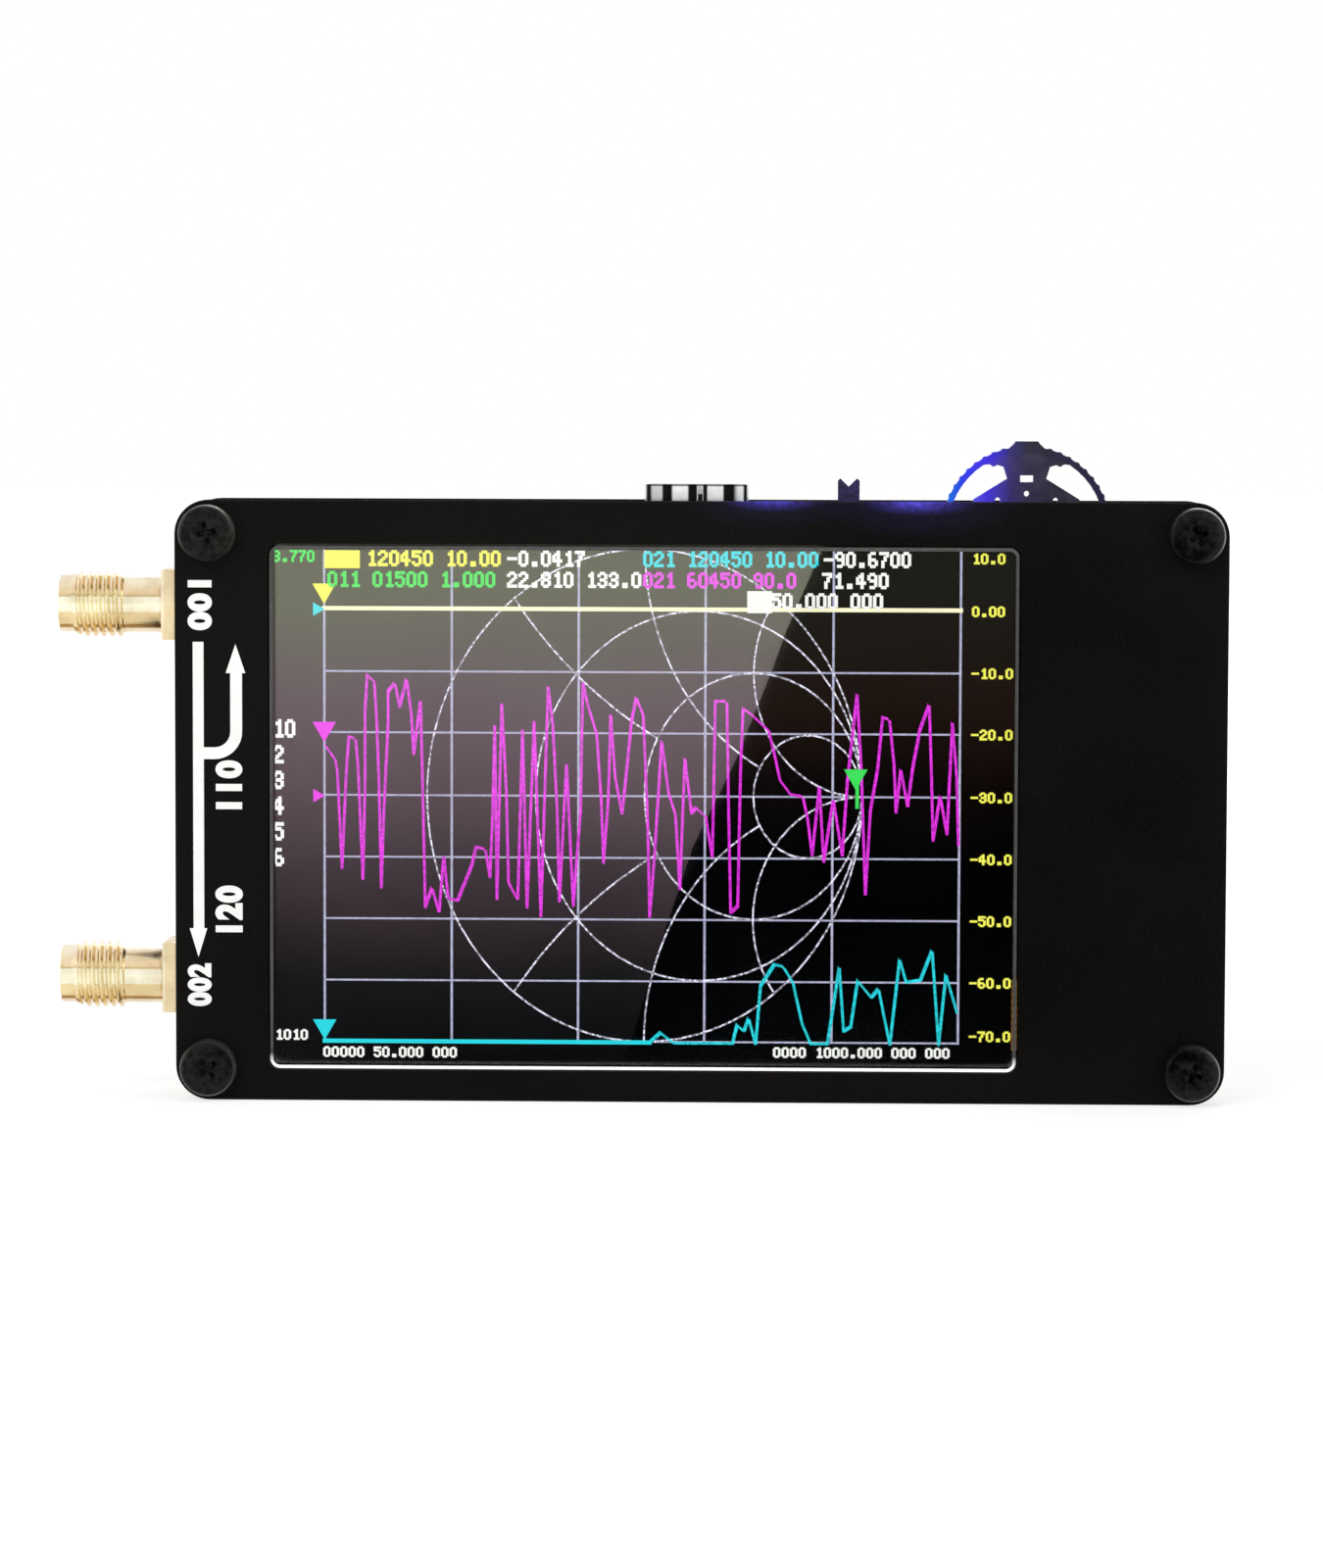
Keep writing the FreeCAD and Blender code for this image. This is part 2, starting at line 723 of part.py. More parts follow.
def make_screen():
    slab(
        "screen_tape", WINDOW_X, WINDOW_Z, f"({LCD_WIDTH} - 2*screen_tape_inset)",
        f"({LCD_HEIGHT} - 2*screen_tape_inset)", "0", "screen_tape_thick",
    )
    slab(
        "lcd_backlight", WINDOW_X, WINDOW_Z, LCD_WIDTH, LCD_HEIGHT, "screen_tape_thick",
        "backlight_thick", "window_corner/2",
    )
    slab("lcd_glass", WINDOW_X, WINDOW_Z, LCD_WIDTH, LCD_HEIGHT, LCD_BACK, "lcd_thick")
    tape = slab(
        "touch_tape", WINDOW_X, WINDOW_Z, GLASS_WIDTH, GLASS_HEIGHT, LCD_FRONT, "touch_tape_thick",
        "(window_corner - glass_gap)",
    )
    inside = face_sketch(tape, "inside", GLASS_BACK)
    draw_centred(
        inside, WINDOW_X, WINDOW_Z, f"({GLASS_WIDTH} - 2*touch_tape_border)",
        f"({GLASS_HEIGHT} - 2*touch_tape_border)",
    )
    pocket(tape, inside)
    notch = face_sketch(tape, "notch", GLASS_BACK)
    draw_centred(
        notch, f"({WINDOW_X} + {GLASS_WIDTH}/2)", TOUCH_RIBBON_Z, "2*(touch_tape_border + glass_gap)",
        "(touch_ribbon_width + 2*glass_gap)",
    )
    pocket(tape, notch)
    glass = slab(
        "touch_glass", WINDOW_X, WINDOW_Z, GLASS_WIDTH, GLASS_HEIGHT, GLASS_BACK,
        f"({PANEL_FRONT} + glass_proud - {GLASS_BACK})", "(window_corner - glass_gap)",
    )
    box = glass.Tip.Shape.BoundBox
    rim = edge_names(glass, lambda edge: front_rim(edge, box))
    dress(glass, "Chamfer", rim, "Size", "glass_chamfer")


def make_ribbon(label, z, width, start, height):
    """A flat ribbon that leaves the screen at a height and comes down to the board."""
    bend = f"({LCD_RIGHT} + glass_gap)"
    foot = f"({bend} + ribbon_slope)"
    end = f"({foot} + ribbon_landing)"
    body = new_body(label)
    side = level_sketch(body, "side", f"{z} - {width}/2")
    draw_polygon(side, [
        (start, f"-{height}"),
        (bend, f"-{height}"),
        (foot, "0"),
        (end, "0"),
        (end, "-ribbon_thick"),
        (f"{foot} + ribbon_thick/2", "-ribbon_thick"),
        (f"{bend} + ribbon_thick/2", f"-{height} - ribbon_thick"),
        (start, f"-{height} - ribbon_thick"),
    ])
    pad(body, side, width)


# --- ports ----------------------------------------------------------------------


def port_sketch(body, name, z):
    """A section through a port: X along its axis, and the radius as Y."""
    return level_sketch(body, name, z, f"-{PORT_HEIGHT}")


def thread_outline():
    """The thread's ridges from the board's side to the tip, as points of X and radius."""
    points = []
    for crest in range(THREAD_CRESTS):
        for share, width in ((0.0, "root"), (0.3, "crest"), (0.5, "crest"), (0.8, "root")):
            along = round(crest + share, 3)
            points.append((f"{THREAD_START} - {along}*thread_pitch", f"thread_{width}/2"))
    return points


def make_port(name, z):
    shell = new_body(f"{name}_shell")
    section = port_sketch(shell, "section", z)
    draw_polygon(section, [
        (BOARD_LEFT, "insulator_width/2"),
        (BOARD_LEFT, "neck_width/2"),
        (THREAD_START, "neck_width/2"),
        *thread_outline(),
        (THREAD_END, "thread_root/2"),
        (THREAD_END, "tip_width/2"),
        (f"{PORT_TIP} + tip_break", "tip_width/2"),
        (PORT_TIP, "tip_width/2 - tip_break"),
        (PORT_TIP, "mouth_width/2"),
        (INSULATOR_FACE, "mouth_width/2"),
        (INSULATOR_FACE, "insulator_width/2"),
    ])
    revolve(shell, section)
    flange = sketch_on(shell, "YZ_Plane", "flange", BOARD_LEFT, z)
    draw_centred(flange, f"(-{PORT_HEIGHT})", "0", "flange_side", "flange_side")
    draw_circle(flange, f"(-{PORT_HEIGHT})", "0", "insulator_width")
    pad(shell, flange, "flange_thick", reverse=True)
    legs = sketch_on(shell, "YZ_Plane", "legs", BOARD_LEFT, z)
    for side in SIDES:
        leg_z = f"({side}*(flange_side - leg_side)/2)"
        draw_centred(legs, "(-leg_side/2)", leg_z, "leg_side", "leg_side")
        draw_centred(legs, "(board_thick + leg_side/2)", leg_z, "leg_side", "leg_side")
    pad(shell, legs, "leg_length")

    insulator = new_body(f"{name}_insulator")
    section = port_sketch(insulator, "section", z)
    draw_box(section, INSULATOR_FACE, "contact_width/2", BOARD_LEFT, "insulator_width/2")
    revolve(insulator, section)

    contact = new_body(f"{name}_contact")
    section = port_sketch(contact, "section", z)
    draw_polygon(section, [
        (INSULATOR_FACE, "contact_bore/2"),
        (INSULATOR_FACE, "contact_width/2"),
        (BOARD_LEFT, "contact_width/2"),
        (BOARD_LEFT, "pin_width/2"),
        (f"{BOARD_LEFT} + pin_length", "pin_width/2"),
        (f"{BOARD_LEFT} + pin_length", "0"),
        (f"{INSULATOR_FACE} + contact_depth", "0"),
        (f"{INSULATOR_FACE} + contact_depth", "contact_bore/2"),
    ])
    revolve(contact, section)


# --- charging socket --------------------------------------------------------------


def make_usb_socket():
    depth = f"(-{USB_HEIGHT})"
    shell = new_body("usb_shell")
    outer = level_sketch(shell, "outer", USB_BOTTOM)
    draw_centred(outer, "usb_place", depth, "usb_width", "usb_height")
    pad(shell, outer, "usb_depth")
    round_uprights(shell, "usb_corner", axis="z")
    open_ends = face_names(shell, lambda face: face.BoundBox.ZLength < TINY)
    walls = dress(shell, "Thickness", open_ends, "Value", "usb_wall")
    walls.Reversed = True
    doc.recompute()
    seam = face_sketch(shell, "seam", BOARD_BACK)
    draw_box(
        seam, "usb_place + usb_seam_shift - usb_seam/2", USB_BOTTOM,
        "usb_place + usb_seam_shift + usb_seam/2", USB_TOP,
    )
    pocket(shell, seam, "usb_height/2")
    tabs = face_sketch(shell, "tabs", f"{BOARD_BACK} - usb_corner - usb_wall")
    for side in SIDES:
        edge = f"(usb_place + {side}*usb_width/2)"
        for share in (0.2, 0.6):
            draw_centred(
                tabs, f"({edge} + {side}*(usb_tab - usb_wall)/2)",
                f"({USB_BOTTOM} + {share}*usb_depth)", "(usb_tab + usb_wall)", "usb_tab_long",
            )
    pad(shell, tabs, "(usb_corner + usb_wall)")

    tongue = new_body("usb_tongue")
    block = level_sketch(tongue, "block", USB_BOTTOM)
    draw_centred(
        block, "usb_place", depth, "(usb_width - 2*usb_corner)", "(usb_height - 2*usb_wall)"
    )
    pad(tongue, block, "usb_block")
    blade = level_sketch(tongue, "blade", f"{USB_BOTTOM} + usb_block")
    draw_centred(blade, "usb_place", depth, "tongue_width", "tongue_thick")
    pad(tongue, blade, "tongue_length")

    contacts = new_body("usb_contacts")
    strips = level_sketch(contacts, "strips", f"{USB_BOTTOM} + usb_block")
    first = f"(usb_place - {(CONTACTS_PER_ROW - 1)/2}*usb_contact_pitch)"
    for side in SIDES:
        draw_centred(
            strips, first, f"({depth} + {side}*(tongue_thick + usb_contact_thick)/2)",
            "usb_contact_wide", "usb_contact_thick",
        )
    first_pair = pad(contacts, strips, "usb_contact_long")
    repeat_along(contacts, first_pair, strips, "H_Axis", "usb_contact_pitch", CONTACTS_PER_ROW)


# --- power switch -----------------------------------------------------------------


def make_power_switch():
    case = slab(
        "power_switch_case", "switch_place", f"(({SWITCH_TOP} + {SWITCH_BOTTOM})/2)",
        "switch_width", "switch_deep", f"{BOARD_BACK} - switch_thick", "switch_thick",
    )
    slot = level_sketch(case, "slot", SWITCH_TOP)
    draw_centred(
        slot, "switch_place", f"(-{SWITCH_HEIGHT})",
        "(knob_width + switch_travel + 2*slot_clearance)", "(knob_thick + 2*slot_clearance)",
    )
    pocket(case, slot, "knob_foot + slot_clearance")

    knob = new_body("power_switch_knob")
    outline = face_sketch(knob, "outline", f"{SWITCH_HEIGHT} - knob_thick/2")
    foot = f"{SWITCH_TOP} - knob_foot"
    peak = f"{TOP_EDGE} + knob_reach"
    draw_polygon(outline, [
        (f"{KNOB_X} - knob_width/2", foot),
        (f"{KNOB_X} + knob_width/2", foot),
        (f"{KNOB_X} + knob_width/2", f"{peak} - knob_tip"),
        (f"{KNOB_X} + knob_width/2 - knob_tip", peak),
        (KNOB_X, f"{peak} - knob_notch"),
        (f"{KNOB_X} - knob_width/2 + knob_tip", peak),
        (f"{KNOB_X} - knob_width/2", f"{peak} - knob_tip"),
    ])
    pad(knob, outline, "knob_thick")

    pins = new_body("power_switch_pins")
    feet = face_sketch(pins, "feet", f"{BOARD_BACK} - solder_pin_thick")
    for step in (-1, 0, 1):
        draw_centred(
            feet, f"(switch_place + {step}*switch_pin_pitch)",
            f"({SWITCH_BOTTOM} - solder_pin_long/2)", "solder_pin_wide", "solder_pin_long",
        )
    pad(pins, feet, "solder_pin_thick")


# --- jog wheel --------------------------------------------------------------------


def jog_point(x, z):
    """A point told from the wheel's axis."""
    return (f"jog_place + {x}", f"{JOG_Z} + {z}")


def mirror_outline(half):
    """Close an outline from its right half, told from top to bottom."""
    right = [jog_point(f"({x})", z) for x, z in half]
    left = [jog_point(f"(-({x}))", z) for x, z in reversed(half)]
    return right + left


def make_jog_wheel():
    body = new_body("jog_wheel")
    rim_top = "jog_radius - rim_low"
    disc = face_sketch(body, "disc", WHEEL_BACK)
    draw_circle(disc, *jog_point("0", "(-rim_low)"), "2*jog_radius")
    draw_circle(disc, *jog_point("0", "(-rim_low)"), "2*(jog_radius - jog_rim)")
    pad(body, disc, "wheel_thick")
    teeth = face_sketch(body, "teeth", WHEEL_BACK)
    for side in SIDES:
        for tooth in range(2, 2 + JOG_TEETH):
            angle = f"(({tooth} + 0.3)*jog_tooth_angle)"
            draw_circle(
                teeth,
                f"(jog_place + {side}*(jog_radius - jog_tooth*2/3)*sin{angle})",
                f"({JOG_Z} - rim_low + (jog_radius - jog_tooth*2/3)*cos{angle})",
                "2*jog_tooth",
            )
    pad(body, teeth, "wheel_thick")
    lower = face_sketch(body, "lower", WHEEL_FRONT)
    draw_box(
        lower, "jog_place - 2*jog_radius", f"{JOG_Z} - 2*jog_radius",
        "jog_place + 2*jog_radius", f"{JOG_Z} - jog_cut",
    )
    pocket(body, lower)
    spokes = face_sketch(body, "spokes", WHEEL_BACK)
    draw_polygon(spokes, mirror_outline([
        ("crown_half", f"{rim_top} + crown_rise"),
        ("crown_half + jog_tooth/3", f"{rim_top} + crown_rise*0.6"),
        ("crown_foot", f"{rim_top} - jog_rim/3"),
        ("shoulder_half", f"{rim_top} - shoulder_drop"),
        ("shoulder_half + jog_rim/8", f"{rim_top} - web_drop"),
        ("web_half + web_lobe*2", f"{rim_top} - web_drop + web_lobe/3"),
        ("web_half", f"{rim_top} - web_drop - web_lobe"),
        ("web_half - web_lobe*2", f"{rim_top} - web_drop"),
        ("waist_half + web_lobe*2", f"{rim_top} - web_drop - web_lobe"),
        ("waist_half", f"{rim_top} - waist_drop"),
        ("dome_side", f"{rim_top} - waist_drop - dome_fall"),
        ("dome_half", "dome_rise"),
        ("dome_half + jog_rim/3", "dome_rise/2"),
        ("hub_half", "0"),
        ("hub_half", "-hub_drop"),
    ]))
    pad(body, spokes, "wheel_thick")
    holes = face_sketch(body, "holes", WHEEL_FRONT)
    draw_circle(holes, *jog_point("0", "0"), "pivot_width + 2*pivot_clearance")
    draw_circle(holes, *jog_point("0", "dome_rise + jog_rim"), "jog_rim")
    for side in SIDES:
        draw_circle(holes, *jog_point(f"{side}*dome_half*0.55", "dome_rise*0.95"), "jog_rim")
    draw_centred(
        holes, "jog_place", f"({JOG_Z} + {rim_top} - waist_drop)", "2.4*jog_rim", "1.2*jog_rim"
    )
    pocket(body, holes)


def make_jog_carriage():
    body = new_body("jog_carriage")
    low = f"{JOG_Z} - carriage_drop"
    ear = face_sketch(body, "ear", EAR_BACK)
    draw_box(ear, "jog_place - ear_half", low, "jog_place + ear_half", f"{JOG_Z} + ear_rise")
    pad(body, ear, "ear_thick")
    block = face_sketch(body, "block", WHEEL_BACK)
    draw_box(
        block, "jog_place - carriage_half", low, "jog_place + carriage_half",
        f"{JOG_Z} - carriage_top",
    )
    pad(body, block, f"({EAR_FRONT} - {WHEEL_BACK})")
    pivot = face_sketch(body, "pivot", EAR_BACK)
    draw_circle(pivot, *jog_point("0", "0"), "pivot_width")
    pad(body, pivot, f"({EAR_BACK} - {PIVOT_BACK})", reverse=True)
    head = face_sketch(body, "head", PIVOT_BACK)
    draw_circle(head, *jog_point("0", "0"), "pivot_head")
    pad(body, head, "pivot_head_thick")


def make_jog_unit():
    base = new_body("jog_base")
    floor = face_sketch(base, "floor", JOG_FLOOR)
    draw_box(
        floor, f"jog_place - {BASE_HALF}", BASE_BOTTOM, f"jog_place + {BASE_HALF}",
        f"{JOG_Z} + base_rise",
    )
    pad(base, floor, "jog_floor")
    rails = face_sketch(base, "rails", COVER_FRONT)
    top = f"{JOG_Z} - rail_drop"
    sill = f"{BASE_BOTTOM} + base_wall"
    draw_polygon(rails, [
        (f"jog_place - {BASE_HALF}", top),
        (f"jog_place - {BASE_HALF}", BASE_BOTTOM),
        (f"jog_place + {BASE_HALF}", BASE_BOTTOM),
        (f"jog_place + {BASE_HALF}", top),
        ("jog_place + carriage_half + rail_gap", top),
        ("jog_place + carriage_half + rail_gap", sill),
        ("jog_place - carriage_half - rail_gap", sill),
        ("jog_place - carriage_half - rail_gap", top),
    ])
    pad(base, rails, f"({JOG_FLOOR} - {COVER_FRONT})")

    cover = slab(
        "jog_cover", "jog_place", f"(({BASE_BOTTOM} + {top})/2)", f"(2*({BASE_HALF} + cover_thick))",
        f"({top} - {BASE_BOTTOM})", COVER_BACK, "cover_thick",
    )
    skirts = face_sketch(cover, "skirts", COVER_FRONT)
    for side in SIDES:
        draw_centred(
            skirts, f"(jog_place + {side}*({BASE_HALF} + cover_thick/2))",
            f"(({BASE_BOTTOM} + {top})/2)", "cover_thick", f"({top} - {BASE_BOTTOM})",
        )
    pad(cover, skirts, f"({EAR_BACK} - {COVER_FRONT})")

    spring = new_body("jog_spring")
    arch = face_sketch(spring, "arch", f"{WHEEL_BACK}")
    crest = f"{JOG_Z} - carriage_drop - jog_travel - spring_rest"
    draw_polygon(arch, [
        ("jog_place - carriage_half", f"{sill}"),
        ("jog_place - carriage_half + spring_thick", f"{sill}"),
        ("jog_place - carriage_half/3", f"{crest} - spring_thick"),
        ("jog_place + carriage_half/3", f"{crest} - spring_thick"),
        ("jog_place + carriage_half - spring_thick", f"{sill}"),
        ("jog_place + carriage_half", f"{sill}"),
        ("jog_place + carriage_half/3", crest),
        ("jog_place - carriage_half/3", crest),
    ])
    pad(spring, arch, "wheel_thick")

    pins = new_body("jog_pins")
    feet = face_sketch(pins, "feet", f"{BOARD_BACK} - solder_pin_thick")
    for step in range(-2, 3):
        draw_centred(
            feet, f"(jog_place + {step}*jog_pin_pitch)", f"({BASE_BOTTOM} - solder_pin_long/2)",
            "solder_pin_wide", "solder_pin_long",
        )
    pad(pins, feet, "solder_pin_thick")


# --- parts on the back of the board -------------------------------------------------


def make_shield():
    frame = slab(
        "rf_shield_frame", SHIELD_X, "0", "shield_width", SHIELD_LONG, SHIELD_BACK, "shield_height"
    )
    inside = face_sketch(frame, "inside", BOARD_BACK)
    draw_centred(
        inside, SHIELD_X, "0", "(shield_width - 2*shield_wall)", f"({SHIELD_LONG} - 2*shield_wall)"
    )
    pocket(frame, inside)
    lid = slab(
        "rf_shield_lid", SHIELD_X, "0", "(shield_width + 2*shield_wall)",
        f"({SHIELD_LONG} + 2*shield_wall)", f"({SHIELD_BACK} - shield_wall)",
        "(shield_wall + lid_skirt)", "2*shield_wall",
    )
    hollow = face_sketch(lid, "hollow", f"{SHIELD_BACK} + lid_skirt")
    draw_centred(hollow, SHIELD_X, "0", "shield_width", SHIELD_LONG)
    pocket(lid, hollow, "lid_skirt")


def in_shield(right, above):
    return (f"({SHIELD_X} + {right})", f"({above})")


def make_radio_parts():
    on_board(
        "mixer_chips", [in_shield(f"{step}*mixer_pitch", "-mixer_below") for step in (-1, 0, 1)],
        "mixer_width", "mixer_deep", "mixer_thick",
    )
    on_board(
        "codec_chip", [in_shield("(-codec_left)", "codec_above")], "codec_side", "codec_side",
        "codec_thick",
    )
    on_board(
        "clock_chip", [in_shield("clock_right", "clock_above")], "clock_side", "clock_side",
        "clock_thick",
    )
    on_board(
        "clock_crystal", [in_shield("clock_right", "crystal_above")], "crystal_wide",
        "crystal_deep", "crystal_thick",
    )
    capacitors = new_body("ceramic_capacitors")
    first = face_sketch(capacitors, "first", f"{BOARD_BACK} - capacitor_thick")
    for side in SIDES:
        x, z = in_shield("(-2.5*capacitor_pitch)", f"{side}*capacitor_row")
        draw_centred(first, x, z, "capacitor_wide", "capacitor_deep")
    pair = pad(capacitors, first, "capacitor_thick")
    repeat_along(capacitors, pair, first, "H_Axis", "capacitor_pitch", 6)
    resistors = new_body("resistors")
    first = face_sketch(resistors, "first", f"{BOARD_BACK} - resistor_thick")
    for place in ("(-resistor_row)", "(-resistor_row - mixer_below - mixer_deep/2)"):
        x, z = in_shield("(-3*resistor_pitch)", place)
        draw_centred(first, x, z, "resistor_wide", "resistor_deep")
    pair = pad(resistors, first, "resistor_thick")
    repeat_along(resistors, pair, first, "H_Axis", "resistor_pitch", 7)


def from_top(place, below):
    return [(place, f"({TOP_EDGE} - {below})")]


def make_controller():
    middle_x, middle_z = from_top("controller_place", "controller_below")[0]
    on_board(
        "controller_chip", [(middle_x, middle_z)], "controller_side", "controller_side",
        "controller_thick",
    )
    pins = new_body("controller_pins")
    first = f"{(CONTACTS_PER_ROW - 1)/2}*controller_pin_pitch"
    outside = "(controller_side + controller_pin_long)/2"
    for name, axis in (("upright", "H_Axis"), ("level", "V_Axis")):
        feet = face_sketch(pins, name, f"{BOARD_BACK} - controller_pin_thick")
        for side in SIDES:
            if name == "upright":
                draw_centred(
                    feet, f"({middle_x} - {first})", f"({middle_z} + {side}*{outside})",
                    "controller_pin_wide", "controller_pin_long",
                )
            else:
                draw_centred(
                    feet, f"({middle_x} + {side}*{outside})", f"({middle_z} - {first})",
                    "controller_pin_long", "controller_pin_wide",
                )
        row = pad(pins, feet, "controller_pin_thick")
        repeat_along(pins, row, feet, axis, "controller_pin_pitch", CONTACTS_PER_ROW)
    on_board(
        "controller_crystal", from_top("watch_crystal_place", "watch_crystal_below"),
        "crystal_wide", "crystal_deep", "crystal_thick",
    )


def make_power_parts():
    on_board(
        "charger_chip", from_top("charger_place", "charger_below"), "charger_side",
        "charger_side", "charger_thick",
    )
    coil = on_board(
        "charger_coil", from_top("coil_place", "coil_below"), "coil_side", "coil_side",
        "coil_thick",
    )
    round_uprights(coil, "coil_round")
    on_board(
        "regulator_chip", from_top("regulator_place", "regulator_below"), "regulator_wide",
        "regulator_deep", "regulator_thick",
    )
    on_board(
        "status_leds", [("led_left_place", LED_Z), ("led_right_place", LED_Z)], "led_wide",
        "led_deep", "led_thick",
    )


# --- battery ----------------------------------------------------------------------


def make_lead(label, shift):
    """One lead from the battery's guard board up into the plug, with a gentle sway."""
    start = f"({CELL_RIGHT} + guard_wide/2 + {shift}*lead_pitch/2)"
    end = f"({SOCKET_X} + {shift}*lead_pitch/2)"
    rise = f"({PLUG_BOTTOM} - {GUARD_TOP})"
    body = new_body(label)
    path = face_sketch(body, "path", CELL_MIDDLE)
    route = [(start, GUARD_TOP)]
    for share, blend in ((0.25, 0.0), (0.5, 0.5), (0.75, 1.0), (1.0, 1.0)):
        route.append((
            f"({start}*{1 - blend} + {end}*{blend})",
            f"({GUARD_TOP} + {share}*{rise})",
        ))
    corners = [Vector(i, 0.1*i*i, 0) for i in range(len(route))]
    spans = [
        path.addGeometry(Part.LineSegment(start_point, end_point), False)
        for start_point, end_point in zip(corners, corners[1:])
    ]
    for i, span in enumerate(spans):
        if i:
            path.addConstraint(Sketcher.Constraint("Coincident", spans[i - 1], 2, span, 1))
        pin_point(path, span, 1, *route[i])
    pin_point(path, spans[-1], 2, *route[-1])
    section = level_sketch(body, "section", GUARD_TOP)
    draw_circle(section, start, f"(-{CELL_MIDDLE})", "lead_width")
    pipe = body.newObject("PartDesign::AdditivePipe", f"{label}_pipe")
    pipe.Profile = section
    pipe.Spine = (path, [])
    pipe.Transition = "Round corner"
    settle(body, pipe, grows=True)


def make_battery():
    slab(
        "battery_tape", CELL_X, CELL_Z, f"({CELL_WIDTH} - 2*cell_tape_inset)",
        f"({CELL_LONG} - 2*cell_tape_inset)", CELL_FRONT, "cell_tape_thick",
    )
    cell = slab(
        "battery_cell", CELL_X, CELL_Z, CELL_WIDTH, CELL_LONG, f"({CELL_FRONT} - cell_thick)",
        "cell_thick",
    )
    round_uprights(cell, "cell_round", axis="z")
    slab(
        "battery_board", f"({CELL_RIGHT} + guard_wide/2)", CELL_Z, "guard_wide", "guard_long",
        f"({CELL_MIDDLE} - guard_thick/2)", "guard_thick",
    )
    make_lead("battery_lead_red", -1)
    make_lead("battery_lead_black", 1)
    socket = slab(
        "battery_socket", SOCKET_X, f"({SOCKET_BOTTOM} + socket_long/2)", "socket_wide",
        "socket_long", f"({BOARD_BACK} - socket_thick)", "socket_thick",
    )
    depth = f"(-{SOCKET_HEIGHT})"
    mouth = level_sketch(socket, "mouth", SOCKET_BOTTOM)
    draw_centred(
        mouth, SOCKET_X, depth, "(socket_wide - 2*socket_wall)",
        "(socket_thick - 2*socket_wall)",
    )
    pocket(socket, mouth, "socket_long - socket_floor", reverse=True)
    plug = new_body("battery_plug")
    housing = level_sketch(plug, "housing", PLUG_BOTTOM)
    draw_centred(
        housing, SOCKET_X, depth, "(socket_wide - 2*socket_wall - 2*plug_clearance)",
        "(socket_thick - 2*socket_wall - 2*plug_clearance)",
    )
    pad(plug, housing, "plug_out + socket_long - socket_floor")


# --- the whole analyzer -------------------------------------------------------------

make_front_panel()
make_back_panel()
make_main_board()
make_corner_screws("front_screws", PANEL_FRONT, 1, "front_screw_length")
make_corner_screws("back_screws", BACK_OUTER, -1, "back_screw_length")
make_front_spacers()
make_rear_standoffs()
make_screen()
make_ribbon("lcd_ribbon", WINDOW_Z, "lcd_ribbon_width", LCD_RIGHT, LCD_BACK)
make_ribbon(
    "touch_ribbon", TOUCH_RIBBON_Z, "touch_ribbon_width", f"({LCD_RIGHT} - touch_ribbon_grip)",
    LCD_FRONT,
)
make_port("port_1", PORT_1_Z)
make_port("port_2", PORT_2_Z)
make_usb_socket()
make_power_switch()
make_jog_wheel()
make_jog_carriage()
make_jog_unit()
make_shield()
make_radio_parts()
make_controller()
make_power_parts()
make_battery()
doc.recompute()

for item in doc.Objects:
    if "Invalid" in item.State or "Error" in item.State:
        raise RuntimeError(f"{item.Label} failed: {item.State}")
bodies = [item for item in doc.Objects if item.TypeId == "PartDesign::Body"]
for body in bodies:
    if body.Shape.isNull() or not body.Shape.isValid():
        raise RuntimeError(f"{body.Label} has no valid shape")
os.makedirs("parts", exist_ok=True)
for body in bodies:
    body.Shape.exportStep(f"parts/{body.Label}.step")
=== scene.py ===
import math

import bmesh
import bpy
from mathutils import Matrix, Vector


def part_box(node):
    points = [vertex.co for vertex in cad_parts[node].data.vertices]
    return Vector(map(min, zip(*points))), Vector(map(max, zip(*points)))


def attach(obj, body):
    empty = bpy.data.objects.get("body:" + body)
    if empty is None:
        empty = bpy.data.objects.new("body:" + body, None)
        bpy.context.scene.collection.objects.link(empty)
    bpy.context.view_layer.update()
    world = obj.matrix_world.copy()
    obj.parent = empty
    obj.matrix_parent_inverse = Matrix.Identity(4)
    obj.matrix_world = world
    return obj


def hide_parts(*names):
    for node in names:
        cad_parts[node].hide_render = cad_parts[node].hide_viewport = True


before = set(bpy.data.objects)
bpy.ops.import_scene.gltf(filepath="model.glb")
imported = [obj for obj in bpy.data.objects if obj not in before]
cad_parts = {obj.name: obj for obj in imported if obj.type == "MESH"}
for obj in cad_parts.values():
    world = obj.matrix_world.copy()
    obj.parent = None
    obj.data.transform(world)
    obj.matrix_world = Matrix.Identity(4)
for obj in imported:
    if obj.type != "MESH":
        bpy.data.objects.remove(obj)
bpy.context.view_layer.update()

bl_info = {
    "name": "Antenna Analyzer Looks",
    "version": (1, 0, 0),
    "blender": (4, 5, 0),
    "location": "3D View > Sidebar > Analyzer",
    "description": "Finishes the antenna analyzer: screen, prints, screws, threads and studio",
    "category": "Object",
}

MM = 0.001

# The display's picture is 320 pixels wide and 240 high; places on it are (column, row).
COLUMNS, ROWS = 320, 240
PICTURE_CENTRE = (0.365 * MM, 25.1 * MM)
# The picture's layers, from the display's face outwards.
GRID, CHART, PALE, LEVEL, PHASE, MARKERS, READINGS = range(7)
# The round chart's middle on the display, and its width as a share of its height.
CHART_MIDDLE = (160.6, 115.2)
CHART_NARROWED = 0.881

FLANGE_THICK = 1.7 * MM  # of a port's flange, from the board's edge outwards

# Where the camera stands, in metres, and how far it is raised, swung and rolled, in degrees.
CAMERA_PLACE = (0.011918, -0.434329, 0.057398)
CAMERA_ANGLES = (4.039, 1.331, 0.176)

